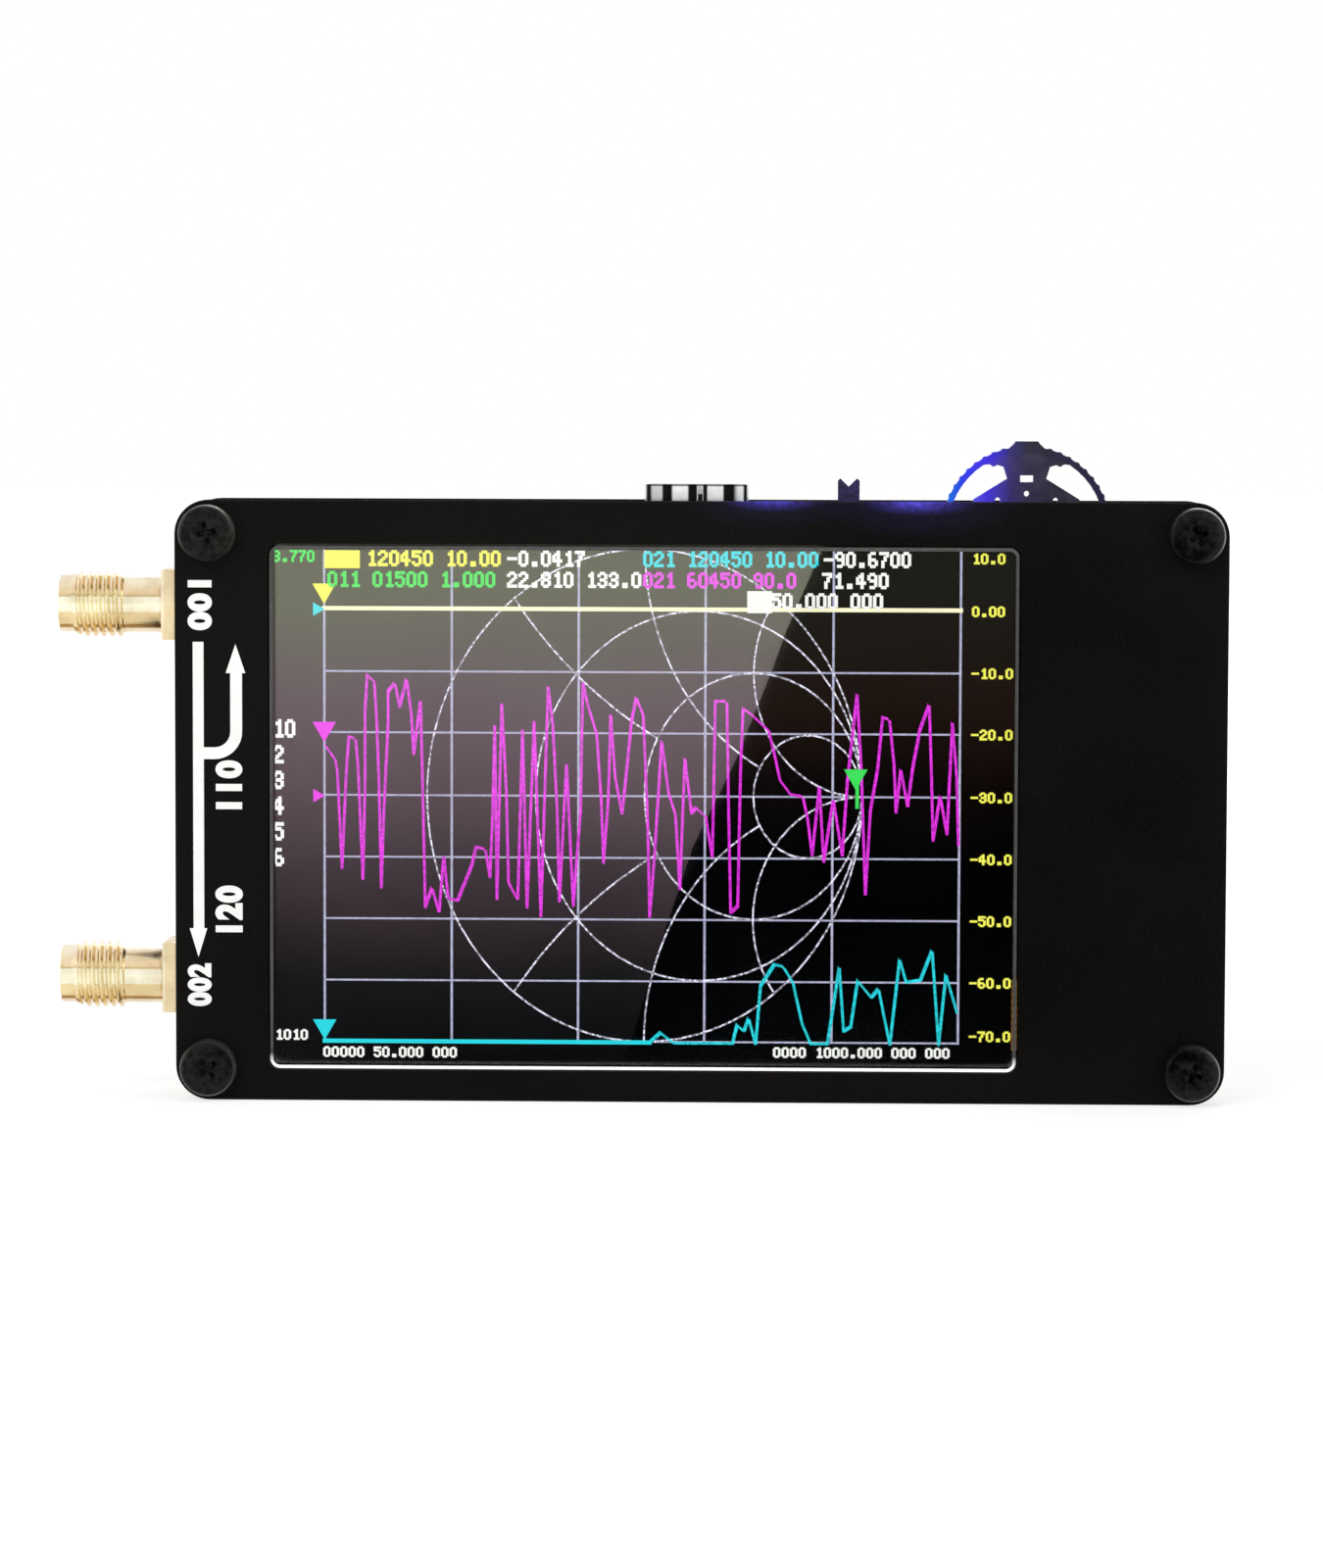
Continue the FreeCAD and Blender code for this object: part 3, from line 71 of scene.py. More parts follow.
DIGITS = {
    "0": "6999996", "1": "2622227", "2": "691248F", "3": "6916196", "4": "26AAF22",
    "5": "F8E1196", "6": "688E996", "7": "F122444", "8": "6996996", "9": "6997116",
    ".": "0000066", "-": "000F000", "/": "1122448", " ": "0000000",
}

PHASE_TRACE = """23,92 27,98 28,103 30,149 32,102 33,88 36,89 37,102 39,154 40,109 40,76 41,59 44,62
45,79 46,109 47,158 48,125 50,81 50,67 53,63 55,74 58,61 60,77 61,96 64,71 65,117 66,167 69,158
72,169 74,143 76,163 80,164 83,156 86,148 88,139 92,140 94,153 95,127 96,82 97,163 99,72 101,112
102,155 106,163 108,84 110,167 113,80 116,171 119,64 121,81 123,122 124,164 127,100 130,166 133,123
134,62 136,72 140,86 142,117 143,146 145,117 146,77 148,106 151,123 153,102 155,80 157,69 160,77
162,125 163,171 165,143 168,89 171,113 174,123 176,158 178,97 181,123 183,120 187,124 190,143 191,71
196,71 197,125 198,169 201,166 202,102 203,74 207,77 208,78 214,84 217,97 219,107 224,114 229,115
231,125 233,142 236,110 238,145 242,116 246,142 248,108 252,67 254,103 256,160 258,121 261,102
263,78 266,79 268,99 269,122 271,102 274,119 276,102 279,84 283,72 284,99 285,135 288,114 291,132
293,80 295,105 296,137"""
LEVEL_TRACE = """23,230 163,230 168,225 174,230 199,230 201,221 204,224 206,218 209,230 211,203
217,193 221,194 225,201 229,220 233,230 240,230 245,194 247,224 250,222 253,200 259,208 262,204
267,230 271,190 274,201 280,200 285,186 288,230 291,197 296,215"""


def tone(code):
    """A colour in linear light from six hexadecimal digits."""
    parts = [int(code[i : i + 2], 16) / 255 for i in (0, 2, 4)]
    return tuple(p / 12.92 if p <= 0.04045 else ((p + 0.055) / 1.055) ** 2.4 for p in parts)


def length(name, description, default):
    return bpy.props.FloatProperty(
        name=name, description=description, default=default, min=0.0, precision=5, unit="LENGTH"
    )


def colour(name, description, code):
    return bpy.props.FloatVectorProperty(
        name=name, description=description, default=tone(code), min=0.0, max=1.0, size=3,
        subtype="COLOR",
    )


def share(name, description, default):
    return bpy.props.FloatProperty(
        name=name, description=description, default=default, min=0.0, max=10.0
    )


class AnalyzerSizes(bpy.types.PropertyGroup):
    """Lengths of the pieces that dress the analyzer"""

    picture_width: length("Picture width", "Lit width of the display", 62.97 * MM)
    picture_height: length("Picture height", "Lit height of the display", 44.0 * MM)
    grid_line: length("Grid line", "Width of the display's grid lines", 0.2 * MM)
    chart_line: length("Chart line", "Width of the round chart's lines", 0.16 * MM)
    trace_line: length("Trace line", "Width of the measured traces", 0.23 * MM)
    level_line: length("Level line", "Width of the level runs of the traces", 0.36 * MM)
    chart_radius: length("Chart radius", "Height of the round chart from its middle", 20.95 * MM)
    print_thick: length("Print thickness", "How far the printed marks stand off", 0.03 * MM)
    head_width: length("Screw head width", "Across a case screw's head", 4.8 * MM)
    head_height: length("Screw head height", "How far a case screw's head stands up", 1.7 * MM)
    shank_width: length("Screw shank width", "Across a case screw's shank", 2.5 * MM)
    recess_long: length("Recess length", "Along each arm of a screw's cross", 2.2 * MM)
    recess_wide: length("Recess width", "Across each arm of a screw's cross", 0.58 * MM)
    thread_pitch: length("Thread pitch", "From one turn of a thread to the next", 0.7056 * MM)
    thread_crest: length("Thread crest", "Across the crests of a port's thread", 5.7 * MM)
    thread_root: length("Thread root", "Across the roots of a port's thread", 5.0 * MM)
    port_tip: length("Port tip", "Across the plain end in front of a port's thread", 4.9 * MM)
    port_mouth: length("Port mouth", "Across the opening of a port", 4.6 * MM)
    flange_height: length("Flange height", "Height of a port's square flange", 6.0 * MM)


class AnalyzerColours(bpy.types.PropertyGroup):
    """Colours of the analyzer's finishes"""

    panel: colour("Panels", "Black solder mask of the two panels", "100f0e")
    panel_edge: colour("Panel edge", "Cut glass fibre at the panels' edges", "16130f")
    print: colour("Print", "Printed marks on the front panel", "fcfcfa")
    screw: colour("Screws", "Blackened steel of the screws", "212120")
    # Painted highlight: this colour is painted on the screws' rims and recess walls where they face
    # right.
    painted_rim_highlight: colour("Worn rims", "Bare steel at the screws' rims", "787874")
    gold: colour("Gold", "Plated gold of the ports and contacts", "ecdab2")
    brass: colour("Brass", "Standoffs behind the board", "e0c283")
    steel: colour("Steel", "Pressed steel of cans, covers and cases", "c6c8ca")
    tin: colour("Tin", "Tinned pins and crystal cans", "d9dbdc")
    shell: colour("Socket shell", "Bright shell of the charging socket", "eceeef")
    plastic: colour("Plastic", "Black plastic of the jog housing and socket", "17161b")
    wheel: colour("Wheel", "Dark grey plastic of the jog wheel", "3e3b43")
    # Partly painted light: the knob is grey plastic, and the violet in this colour paints the
    # status lights' light on it.
    knob: colour("Knob", "Violet grey plastic of the power knob", "403a68")
    nylon: colour("Nylon", "Black nylon of the front spacers", "141416")
    glass: colour("Screen glass", "Clear glass of the touch screen", "f4f6f5")
    display: colour("Display", "Unlit face of the display", "07080a")
    insulator: colour("Insulator", "White filling of the ports", "f2efe6")
    foil: colour("Cell foil", "Foil wrap of the battery cell", "a9adb2")
    tape: colour("Tape", "Black foam tape", "101011")
    ribbon: colour("Ribbon", "Amber flat cables of the screen", "c07a22")
    red: colour("Red lead", "Positive lead of the battery", "b5141b")
    cream: colour("Cream plastic", "Battery plug and socket", "ece5cf")
    chip: colour("Chip", "Moulded bodies of the chips", "1c1c1e")
    ceramic: colour("Ceramic", "Bodies of the small capacitors", "a98a63")
    glow: colour("Light", "Blue of the lit status lights", "2348ff")
    line_grid: colour("Grid light", "Display colour of the grid", "cfcff0")
    line_chart: colour("Chart light", "Display colour of the round chart", "eeeaff")
    line_white: colour("White light", "Display colour of the readings", "f7f7f4")
    line_pale: colour("Pale light", "Display colour of the first trace", "fff8d2")
    line_yellow: colour("Yellow light", "Display colour of the first readings", "f4f060")
    line_green: colour("Green light", "Display colour of the second readings", "3fdc5c")
    line_cyan: colour("Cyan light", "Display colour of the third trace", "2fd8e4")
    line_magenta: colour("Magenta light", "Display colour of the fourth trace", "e838e6")


class AnalyzerStudio(bpy.types.PropertyGroup):
    """Light of the studio round the analyzer"""

    key: share("Key light", "Share of full light from the large lamp in front", 0.42)
    fill: share("Fill light", "Share of full light from each side lamp", 0.2)
    top: share("Top light", "Share of full light from above", 0.3)
    back: share("Back light", "Share of full light from behind", 0.34)
    room: share("Room light", "Even light of the pale room", 0.22)
    mirrored: share("Mirrored light", "Strength of the card that the screen glass mirrors", 1.85)
    floor: colour("Floor", "Pale floor", "e9e9e7")


# ---- selecting and placing ----


def active():
    """The piece that was made or held last."""
    return bpy.context.view_layer.objects.active


def close_shape():
    """Leaves edit mode."""
    bpy.ops.object.mode_set(mode="OBJECT")


def choose_all():
    """In edit mode, selects the whole mesh."""
    bpy.ops.mesh.select_all(action="SELECT")


def let_go():
    """Leaves edit mode with nothing selected."""
    held = active()
    if held and held.mode != "OBJECT":
        close_shape()
    bpy.ops.object.select_all(action="DESELECT")


def hold(*pieces):
    """Selects only these pieces, with the first one active."""
    let_go()
    for piece in pieces:
        piece.select_set(True)
    bpy.context.view_layer.objects.active = pieces[0]


def shape(piece):
    """Holds one piece in edit mode with all of it selected."""
    hold(piece)
    bpy.ops.object.mode_set(mode="EDIT")
    bpy.ops.mesh.select_mode(type="VERT")
    choose_all()


def choose(piece, kind, test):
    """In edit mode, selects only the vertices, edges or faces that pass a test."""
    bpy.ops.mesh.select_mode(type=kind)
    bpy.ops.mesh.select_all(action="DESELECT")
    mesh = bmesh.from_edit_mesh(piece.data)
    parts = {"VERT": mesh.verts, "EDGE": mesh.edges, "FACE": mesh.faces}[kind]
    for part in parts:
        if test(part):
            part.select_set(True)
    bmesh.update_edit_mesh(piece.data)


def place(piece, matrix):
    """Moves a piece and puts its place into its mesh."""
    hold(piece)
    piece.matrix_world = matrix @ piece.matrix_world
    bpy.ops.object.transform_apply(location=True, rotation=True, scale=True)
    return piece


def copy_of(piece):
    hold(piece)
    bpy.ops.object.duplicate(linked=False)
    return active()


def join(pieces):
    hold(*pieces)
    if len(pieces) > 1:
        bpy.ops.object.join()
    return active()


def modify(piece, kind, **settings):
    """Adds a modifier and applies it."""
    hold(piece)
    modifier = piece.modifiers.new(kind.title(), kind)
    for key, value in settings.items():
        setattr(modifier, key, value)
    bpy.ops.object.modifier_apply(modifier=modifier.name)


def soften(piece, width, angle=35):
    """Breaks a piece's sharp edges and shades it smooth between them."""
    modify(
        piece, "BEVEL", width=width, segments=2, limit_method="ANGLE",
        angle_limit=math.radians(angle), harden_normals=False,
    )
    hold(piece)
    bpy.ops.object.shade_smooth_by_angle(angle=math.radians(38))


def turn_out(piece):
    """Merges doubled points and turns the faces outwards."""
    shape(piece)
    bpy.ops.mesh.remove_doubles(threshold=0.0005 * MM)
    choose_all()
    bpy.ops.mesh.normals_make_consistent(inside=False)
    close_shape()


def finish_piece(piece, name, material, replaces=()):
    """Names a finished piece, gives it its material and lets it ride on the case."""
    place(piece, Matrix.Identity(4))
    piece.name = piece.data.name = name
    piece.data.materials.clear()
    piece.data.materials.append(material)
    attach(piece, "case")
    if replaces:
        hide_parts(*replaces)
    return piece


def dress(material, *nodes):
    """Gives CAD pieces a finish."""
    for name in nodes:
        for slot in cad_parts[name].material_slots:
            slot.material = material


def draw_line(points):
    """A bare line through these places, drawn by extruding one point after another."""
    points = [Vector(point) for point in points]
    let_go()
    bpy.ops.mesh.primitive_plane_add(size=0.1 * MM, location=points[0])
    piece = active()
    shape(piece)
    bpy.ops.mesh.merge(type="CENTER")
    for here, there in zip(points, points[1:]):
        bpy.ops.mesh.extrude_vertices_move(TRANSFORM_OT_translate={"value": there - here})
    return piece


def close_line(piece):
    """Joins the two ends of a line."""
    choose(piece, "VERT", lambda vert: len(vert.link_edges) == 1)
    bpy.ops.mesh.edge_face_add()


def turn_round(piece, steps):
    """Spins a profile in edit mode once round the upright axis."""
    choose_all()
    bpy.ops.mesh.spin(steps=steps, angle=2 * math.pi, center=(0, 0, 0), axis=(0, 0, 1))
    close_shape()
    turn_out(piece)


def draw_face(points):
    """A flat face inside a closed outline."""
    piece = draw_line(points)
    close_line(piece)
    choose_all()
    bpy.ops.mesh.edge_face_add()
    close_shape()
    return piece


def face_front(piece):
    """Turns a flat piece's faces to the front."""
    shape(piece)
    choose(piece, "FACE", lambda face: face.normal.y > 0)
    bpy.ops.mesh.flip_normals()
    close_shape()
    return piece


# ---- finishes ----


def add_node(tree, kind, values=None, **settings):
    """Adds a shader node; a value is a number or colour, or another node's output to link."""
    node = tree.nodes.new("ShaderNode" + kind)
    for key, value in settings.items():
        setattr(node, key, value)
    for key, value in (values or {}).items():
        if isinstance(value, bpy.types.NodeSocket):
            tree.links.new(value, node.inputs[key])
        else:
            node.inputs[key].default_value = value
    return node


def axis(tree, vector, name):
    """One axis of a vector."""
    return add_node(tree, "SeparateXYZ", {0: vector}).outputs[name]


def calculate(tree, operation, *values):
    """The result of a Math node on numbers and other nodes' outputs."""
    return add_node(tree, "Math", dict(enumerate(values)), operation=operation).outputs[0]


def face_on(tree, coordinates):
    """1 where a surface faces the front or back, 0 where it faces sideways or up."""
    return calculate(tree, "ABSOLUTE", axis(tree, coordinates.outputs["Normal"], "Y"))


def tint(base, part):
    """A colour made darker or lighter by a factor."""
    return tuple(part * c for c in base)


def coat(tree, shader, tones, rough, height, depth):
    """Links a finish's colour, its roughness and a relief of this depth in mm."""
    bump = {"Height": height, "Strength": 1.0, "Distance": depth * MM}
    relief = add_node(tree, "Bump", bump).outputs[0]
    for name, source in (("Base Color", tones), ("Roughness", rough), ("Normal", relief)):
        tree.links.new(source, shader.inputs[name])


def blend_colours(tree, factor, first, second, mode="MIX"):
    first = first if isinstance(first, bpy.types.NodeSocket) else (*first, 1.0)
    second = second if isinstance(second, bpy.types.NodeSocket) else (*second, 1.0)
    node = add_node(
        tree, "Mix", {0: factor, 6: first, 7: second}, data_type="RGBA", blend_type=mode
    )
    return node.outputs[2]


def spread(tree, value, low, high, to_low=0.0, to_high=1.0):
    node = add_node(
        tree, "MapRange",
        {"Value": value, "From Min": low, "From Max": high, "To Min": to_low, "To Max": to_high},
    )
    return node.outputs[0]


def ramp(tree, value, stops):
    """A colour that follows a value through these stops of place and colour."""
    node = add_node(tree, "ValToRGB", {0: value})
    elements = node.color_ramp.elements
    elements.remove(elements[1])
    elements[0].position, elements[0].color = stops[0][0], (*tone(stops[0][1]), 1.0)
    for position, code in stops[1:]:
        elements.new(position).color = (*tone(code), 1.0)
    return node.outputs[0]


def noise(tree, vector, size, detail=3.0):
    """Noise whose patches are about this size."""
    node = add_node(
        tree, "TexNoise", {"Vector": vector, "Scale": 1.0 / size, "Detail": detail}
    )
    return node.outputs["Fac"]


def start_finish(name, metallic=0.0, stretch=(1.0, 1.0, 1.0), **sockets):
    """A new material: its node tree, its shader and its place on the piece."""
    material = bpy.data.materials.new(name)
    material.use_nodes = True
    tree = material.node_tree
    shader = tree.nodes["Principled BSDF"]
    shader.inputs["Metallic"].default_value = metallic
    for key, value in sockets.items():
        shader.inputs[key.replace("_", " ")].default_value = value
    coordinates = add_node(tree, "TexCoord")
    where = add_node(
        tree, "Mapping", {"Vector": coordinates.outputs["Object"], "Scale": stretch}
    ).outputs[0]
    return material, tree, shader, where, coordinates


def make_finish(
    name, colour, rough, patch=4.0, grain=0.3, bump=0.004, vary=0.25, metallic=0.0,
    stretch=(1.0, 1.0, 1.0), **sockets,
):
    """A finish with uneven tone and gloss and a fine grain; patch, grain and bump are in mm."""
    material, tree, shader, where, _ = start_finish(name, metallic, stretch, **sockets)
    clouds = noise(tree, where, patch * MM, 4.0)
    fine = noise(tree, where, grain * MM)
    darker = tuple(part * (1.0 - vary) for part in colour)
    lighter = tuple(min(1.0, part * (1.0 + vary / 2)) for part in colour)
    tones = blend_colours(tree, spread(tree, clouds, 0.35, 0.65), darker, lighter)
    tones = blend_colours(tree, spread(tree, fine, 0.4, 0.7, 0.0, 0.35), tones, darker)
    coat(tree, shader, tones, spread(tree, clouds, 0.3, 0.7, *rough), fine, bump)
    return material


def around(tree, object_place, centre, reach):
    """1 at a place on the piece, falling to 0 at this reach in each direction; 0 ignores one."""
    scale = [1.0 / r if r else 0.0 for r in reach]
    offset = [-c * s for c, s in zip(centre, scale)]
    moved = add_node(
        tree, "Mapping", {"Vector": object_place, "Scale": scale, "Location": offset}
    )
    ball = add_node(
        tree, "TexGradient", {"Vector": moved.outputs[0]}, gradient_type="SPHERICAL"
    )
    return ball.outputs["Fac"]


def led_places():
    """How far along x the middle of each status light is, from the pair's box."""
    low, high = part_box("status_leds")
    half = 0.8 * MM
    return low.x + half, high.x - half


def panel_finish(name, lit):
    """Satin black solder mask, glass fibre at the cut edges and, in front, a painted glow of the
    status lights along the top edge.
    """
    colours = bpy.context.scene.analyzer_colours
    material, tree, shader, where, coordinates = start_finish(name, Specular_IOR_Level=0.05)
    clouds = noise(tree, where, 9.0 * MM, 4.0)
    fine = noise(tree, where, 0.12 * MM, 2.0)
    weave = add_node(
        tree, "TexChecker", {"Vector": where, "Scale": 1.0 / (0.42 * MM)}
    ).outputs["Fac"]
    mask = blend_colours(
        tree, spread(tree, clouds, 0.35, 0.65), tint(colours.panel, 0.7), colours.panel
    )
    mask = blend_colours(
        tree, spread(tree, fine, 0.48, 0.68, 0.0, 0.7), mask, tint(colours.panel, 3.0)
    )
    layers = add_node(
        tree, "TexWave",
        {"Vector": where, "Scale": 1.0 / (1.6 * MM), "Distortion": 3.0, "Detail": 3.0},
        bands_direction="Y",
    ).outputs["Fac"]
    fibre = blend_colours(
        tree, layers, colours.panel_edge, tint(colours.panel_edge, 1.5)
    )
    level = face_on(tree, coordinates)
    on_face = spread(tree, level, 0.5, 0.7)
    satin = spread(tree, clouds, 0.3, 0.7, 0.42, 0.6)
    rough = add_node(tree, "Mix", {0: on_face, 2: 0.95, 3: satin}, data_type="FLOAT").outputs[0]
    height = calculate(tree, "MULTIPLY_ADD", fine, weave, 0.15)
    coat(tree, shader, blend_colours(tree, on_face, fibre, mask), rough, height, 0.006)
    # Painted light: on the front panel, the status lights' blue spill near the top edge is painted
    # on as emission.
    if lit:
        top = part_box("front_panel")[1].z
        first, second = (x - 0.3 * MM for x in led_places())
        painted_glow_reaches = (
            (first, 4.6, 0.9, 0.62), (second, 5.2, 1.2, 0.7), (first, 7.5, 2.4, 0.14),
            (second, 9.0, 3.2, 0.17),
        )
        level = 0.0
        for x, wide, deep, part in painted_glow_reaches:
            glow = around(
                tree, coordinates.outputs["Object"], (x, 0, top), (wide * MM, 0, deep * MM)
            )
            level = calculate(tree, "MULTIPLY_ADD", spread(tree, glow, 0.0, 0.85), part, level)
        specks = noise(tree, where, 0.5 * MM, 4.0)
        uneven = calculate(tree, "MULTIPLY", level, spread(tree, specks, 0.3, 0.7, 0.7, 1.15))
        light = ramp(
            tree, uneven, ((0.0, "000000"), (0.2, "141130"), (0.45, "2a2468"), (0.9, "564ad6"))
        )
        tree.links.new(light, shader.inputs["Emission Color"])
        shader.inputs["Emission Strength"].default_value = 1.0
    return material


def wheel_finish():
    """Dark grey moulded plastic, darker towards the rim, with a painted blue glow on the side of
    the nearer status light.
    """
    colours = bpy.context.scene.analyzer_colours
    material, tree, shader, where, coordinates = start_finish(
        "wheel_plastic", Specular_IOR_Level=0.3
    )
    clouds = noise(tree, where, 1.6 * MM, 4.0)
    fine = noise(tree, where, 0.12 * MM)
    low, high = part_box("jog_wheel")
    radius = (high.x - low.x) / 2
    centre = Vector(((low.x + high.x) / 2, 0, high.z - radius - 0.34 * MM))
    flat = add_node(
        tree, "VectorMath", {0: coordinates.outputs["Object"], 1: (1, 0, 1)}, operation="MULTIPLY"
    )
    away = add_node(tree, "VectorMath", {0: flat.outputs[0], 1: centre}, operation="DISTANCE")
    rim = spread(tree, away.outputs["Value"], radius - 0.95 * MM, radius - 0.5 * MM)
    deep = blend_colours(
        tree, rim, tint(colours.wheel, 0.55), tint(colours.wheel, 0.25)
    )
    pale = blend_colours(
        tree, rim, tint(colours.wheel, 1.3), tint(colours.wheel, 0.5)
    )
    tones = blend_colours(tree, spread(tree, clouds, 0.35, 0.65), deep, pale)
    coat(tree, shader, tones, spread(tree, clouds, 0.3, 0.7, 0.4, 0.62), fine, 0.004)
    # Painted light: emission stands in for the nearer status light's blue light on the wheel, and
    # is brightest on that side.
    across = axis(tree, coordinates.outputs["Object"], "X")
    nearer = spread(tree, across, centre.x + 3.0 * MM, low.x)
    painted_rim_glow = ramp(tree, nearer, (
        (0.0, "0a0036"), (0.16, "080026"), (0.29, "181830"), (0.44, "231b78"), (0.56, "2d14d8"),
        (0.7, "3528f4"), (0.83, "1337f4"), (0.94, "0072ea"),
    ))
    painted_hub_glow = ramp(tree, nearer, (
        (0.0, "03001c"), (0.29, "050035"), (0.42, "210360"), (0.535, "2d1cab"), (0.62, "2d14dc"),
        (0.7, "473ae4"), (0.9, "3a66ea"),
    ))
    light = blend_colours(tree, rim, painted_hub_glow, painted_rim_glow)
    tree.links.new(light, shader.inputs["Emission Color"])
    shader.inputs["Emission Strength"].default_value = 0.85
    return material


def glass_finish():
    """Clear glass with faint smears, whose frosted edges are pale, with a painted highlight that
    brightens them towards the bottom and a painted glow there.
    """
    colours = bpy.context.scene.analyzer_colours
    material, tree, shader, where, coordinates = start_finish("touch_glass_clear", IOR=1.5)
    level = face_on(tree, coordinates)
    clear = spread(tree, level, 0.8, 0.9)
    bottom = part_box("touch_glass")[0].z
    height = axis(tree, coordinates.outputs["Object"], "Z")
    lower = spread(tree, height, bottom + 0.3 * MM, bottom + 1.3 * MM, 1.0, 0.0)
    fine = noise(tree, where, 0.5 * MM)
    # Painted highlight: the frosted edges run from grey to near white towards the bottom edge.
    edge_tone_and_highlight = blend_colours(tree, lower, tone("4a4a48"), tone("f4f4f4"))
    edge_tone_and_highlight = blend_colours(tree, spread(tree, fine, 0.35, 0.65, 0.0, 0.4), edge_tone_and_highlight, tone("6a6a68"))
    tree.links.new(
        blend_colours(tree, clear, edge_tone_and_highlight, tuple(colours.glass)), shader.inputs["Base Color"]
    )
    tree.links.new(clear, shader.inputs["Transmission Weight"])
    smears = spread(tree, noise(tree, where, 14.0 * MM, 6.0), 0.4, 0.7, 0.0, 0.05)
    rough = add_node(tree, "Mix", {0: clear, 2: 0.6, 3: smears}, data_type="FLOAT")
    tree.links.new(rough.outputs[0], shader.inputs["Roughness"])
    # Painted light: the lower frosted edge also glows.
    painted_edge_glow = calculate(tree, "MULTIPLY", calculate(tree, "SUBTRACT", 1.0, clear), lower)
    tree.links.new(
        blend_colours(tree, painted_edge_glow, (0, 0, 0), (0.8, 0.8, 0.8)), shader.inputs["Emission Color"]
    )
    shader.inputs["Emission Strength"].default_value = 1.0
    through = add_node(tree, "BsdfTransparent", {"Color": (*colours.glass, 1.0)})
    rays = add_node(tree, "LightPath")
    either = add_node(
        tree, "MixShader",
        {0: rays.outputs["Is Shadow Ray"], 1: shader.outputs[0], 2: through.outputs[0]},
    )
    tree.links.new(either.outputs[0], tree.nodes["Material Output"].inputs["Surface"])
    return material


def shell_finish():
    """Bright sheet bent into a shell, whose flat sides carry painted reflections in light and dark
    stripes, with painted shade along the top edge.
    """
    colours = bpy.context.scene.analyzer_colours
    material, tree, shader, where, coordinates = start_finish("bright_shell", metallic=1.0)
    place_at = coordinates.outputs["Object"]
    streaks = noise(tree, where, 1.2 * MM, 4.0)
    fine = noise(tree, where, 0.08 * MM)
    low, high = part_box("usb_contacts")
    middle = (low.x + high.x) / 2
    across = axis(tree, place_at, "X")
    share_across = spread(tree, across, middle - 4.5 * MM, middle + 4.5 * MM)
    # Painted reflection: light and dark stripes across the shell's front and back faces, placed
    # along x.
    painted_reflection_strips = (
        (-3.8, -3.0, 0.16, "dedede"), (-2.0, -0.8, 0.18, "fcfcfc"), (0.05, 0.46, 0.05, "fcfcfc"),
        (0.98, 2.2, 0.14, "fcfcfc"), (3.55, 3.92, 0.4, "f6f6f6"),
    )
    stops = []
    for start, end, soft, code in painted_reflection_strips:
        stops += [(start - soft, "161616"), (start, code), (end, code), (end + 0.14, "1c1c1c")]
    painted_reflection_and_shade = ramp(tree, share_across, [(x / 9.0 + 0.5, code) for x, code in stops])
    # Painted shade: near black just below the top edge, where the sheet turns over.
    height = axis(tree, place_at, "Z")
    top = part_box("usb_shell")[1].z
    turned = spread(tree, height, top - 0.22 * MM, top - 0.1 * MM, 0.0, 0.8)
    painted_reflection_and_shade = blend_colours(tree, turned, painted_reflection_and_shade, tone("0a0a0a"))
    level = face_on(tree, coordinates)
    plain = blend_colours(
        tree, spread(tree, streaks, 0.35, 0.65), tint(colours.shell, 0.8), colours.shell
    )
    tones = blend_colours(tree, spread(tree, level, 0.4, 0.6), plain, painted_reflection_and_shade)
    coat(tree, shader, tones, spread(tree, streaks, 0.3, 0.7, 0.14, 0.26), fine, 0.0015)
    return material


def gold_finish():
    """Plated gold: each barrel carries painted reflections in pale and tan stripes, set by which
    way its surface faces; its flange is plain gold, paler over the first 0.2 mm behind its front
    face.
    """
    colours = bpy.context.scene.analyzer_colours
    material, tree, shader, where, coordinates = start_finish("port_gold", metallic=1.0)
    streaks = noise(tree, where, 1.6 * MM, 4.0)
    fine = noise(tree, where, 0.08 * MM)
    up = axis(tree, coordinates.outputs["Normal"], "Z")
    # Painted reflection: the barrel's colour follows the up and down tilt of its surface, bright
    # where it faces forwards, with tan and brown lines above and below.
    bands = (
        (-0.84, "f6e8cc"), (-0.8, "b08850"), (-0.71, "b08850"), (-0.68, "f0daa8"),
        (-0.28, "f0daa8"), (-0.24, "fffae0"), (0.24, "fffae0"), (0.29, "d0b886"),
        (0.36, "f2dab0"), (0.8, "f8ecd2"),
    )
    tones = ramp(tree, spread(tree, up, -1.0, 1.0), [((u + 1) / 2, code) for u, code in bands])
    along = axis(tree, coordinates.outputs["Object"], "X")
    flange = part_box("main_board")[0].x - FLANGE_THICK
    inner = spread(tree, along, flange + 0.2 * MM, flange + 0.3 * MM)
    plain = blend_colours(tree, inner, tone("f8ecd0"), colours.gold)
    tones = blend_colours(tree, spread(tree, along, flange - 0.03 * MM, flange), tones, plain)
    dull = blend_colours(tree, spread(tree, streaks, 0.35, 0.65), tone("ece6dc"), (1, 1, 1))
    tones = blend_colours(tree, 1.0, tones, dull, "MULTIPLY")
    coat(tree, shader, tones, spread(tree, streaks, 0.3, 0.7, 0.16, 0.3), fine, 0.0015)
    return material


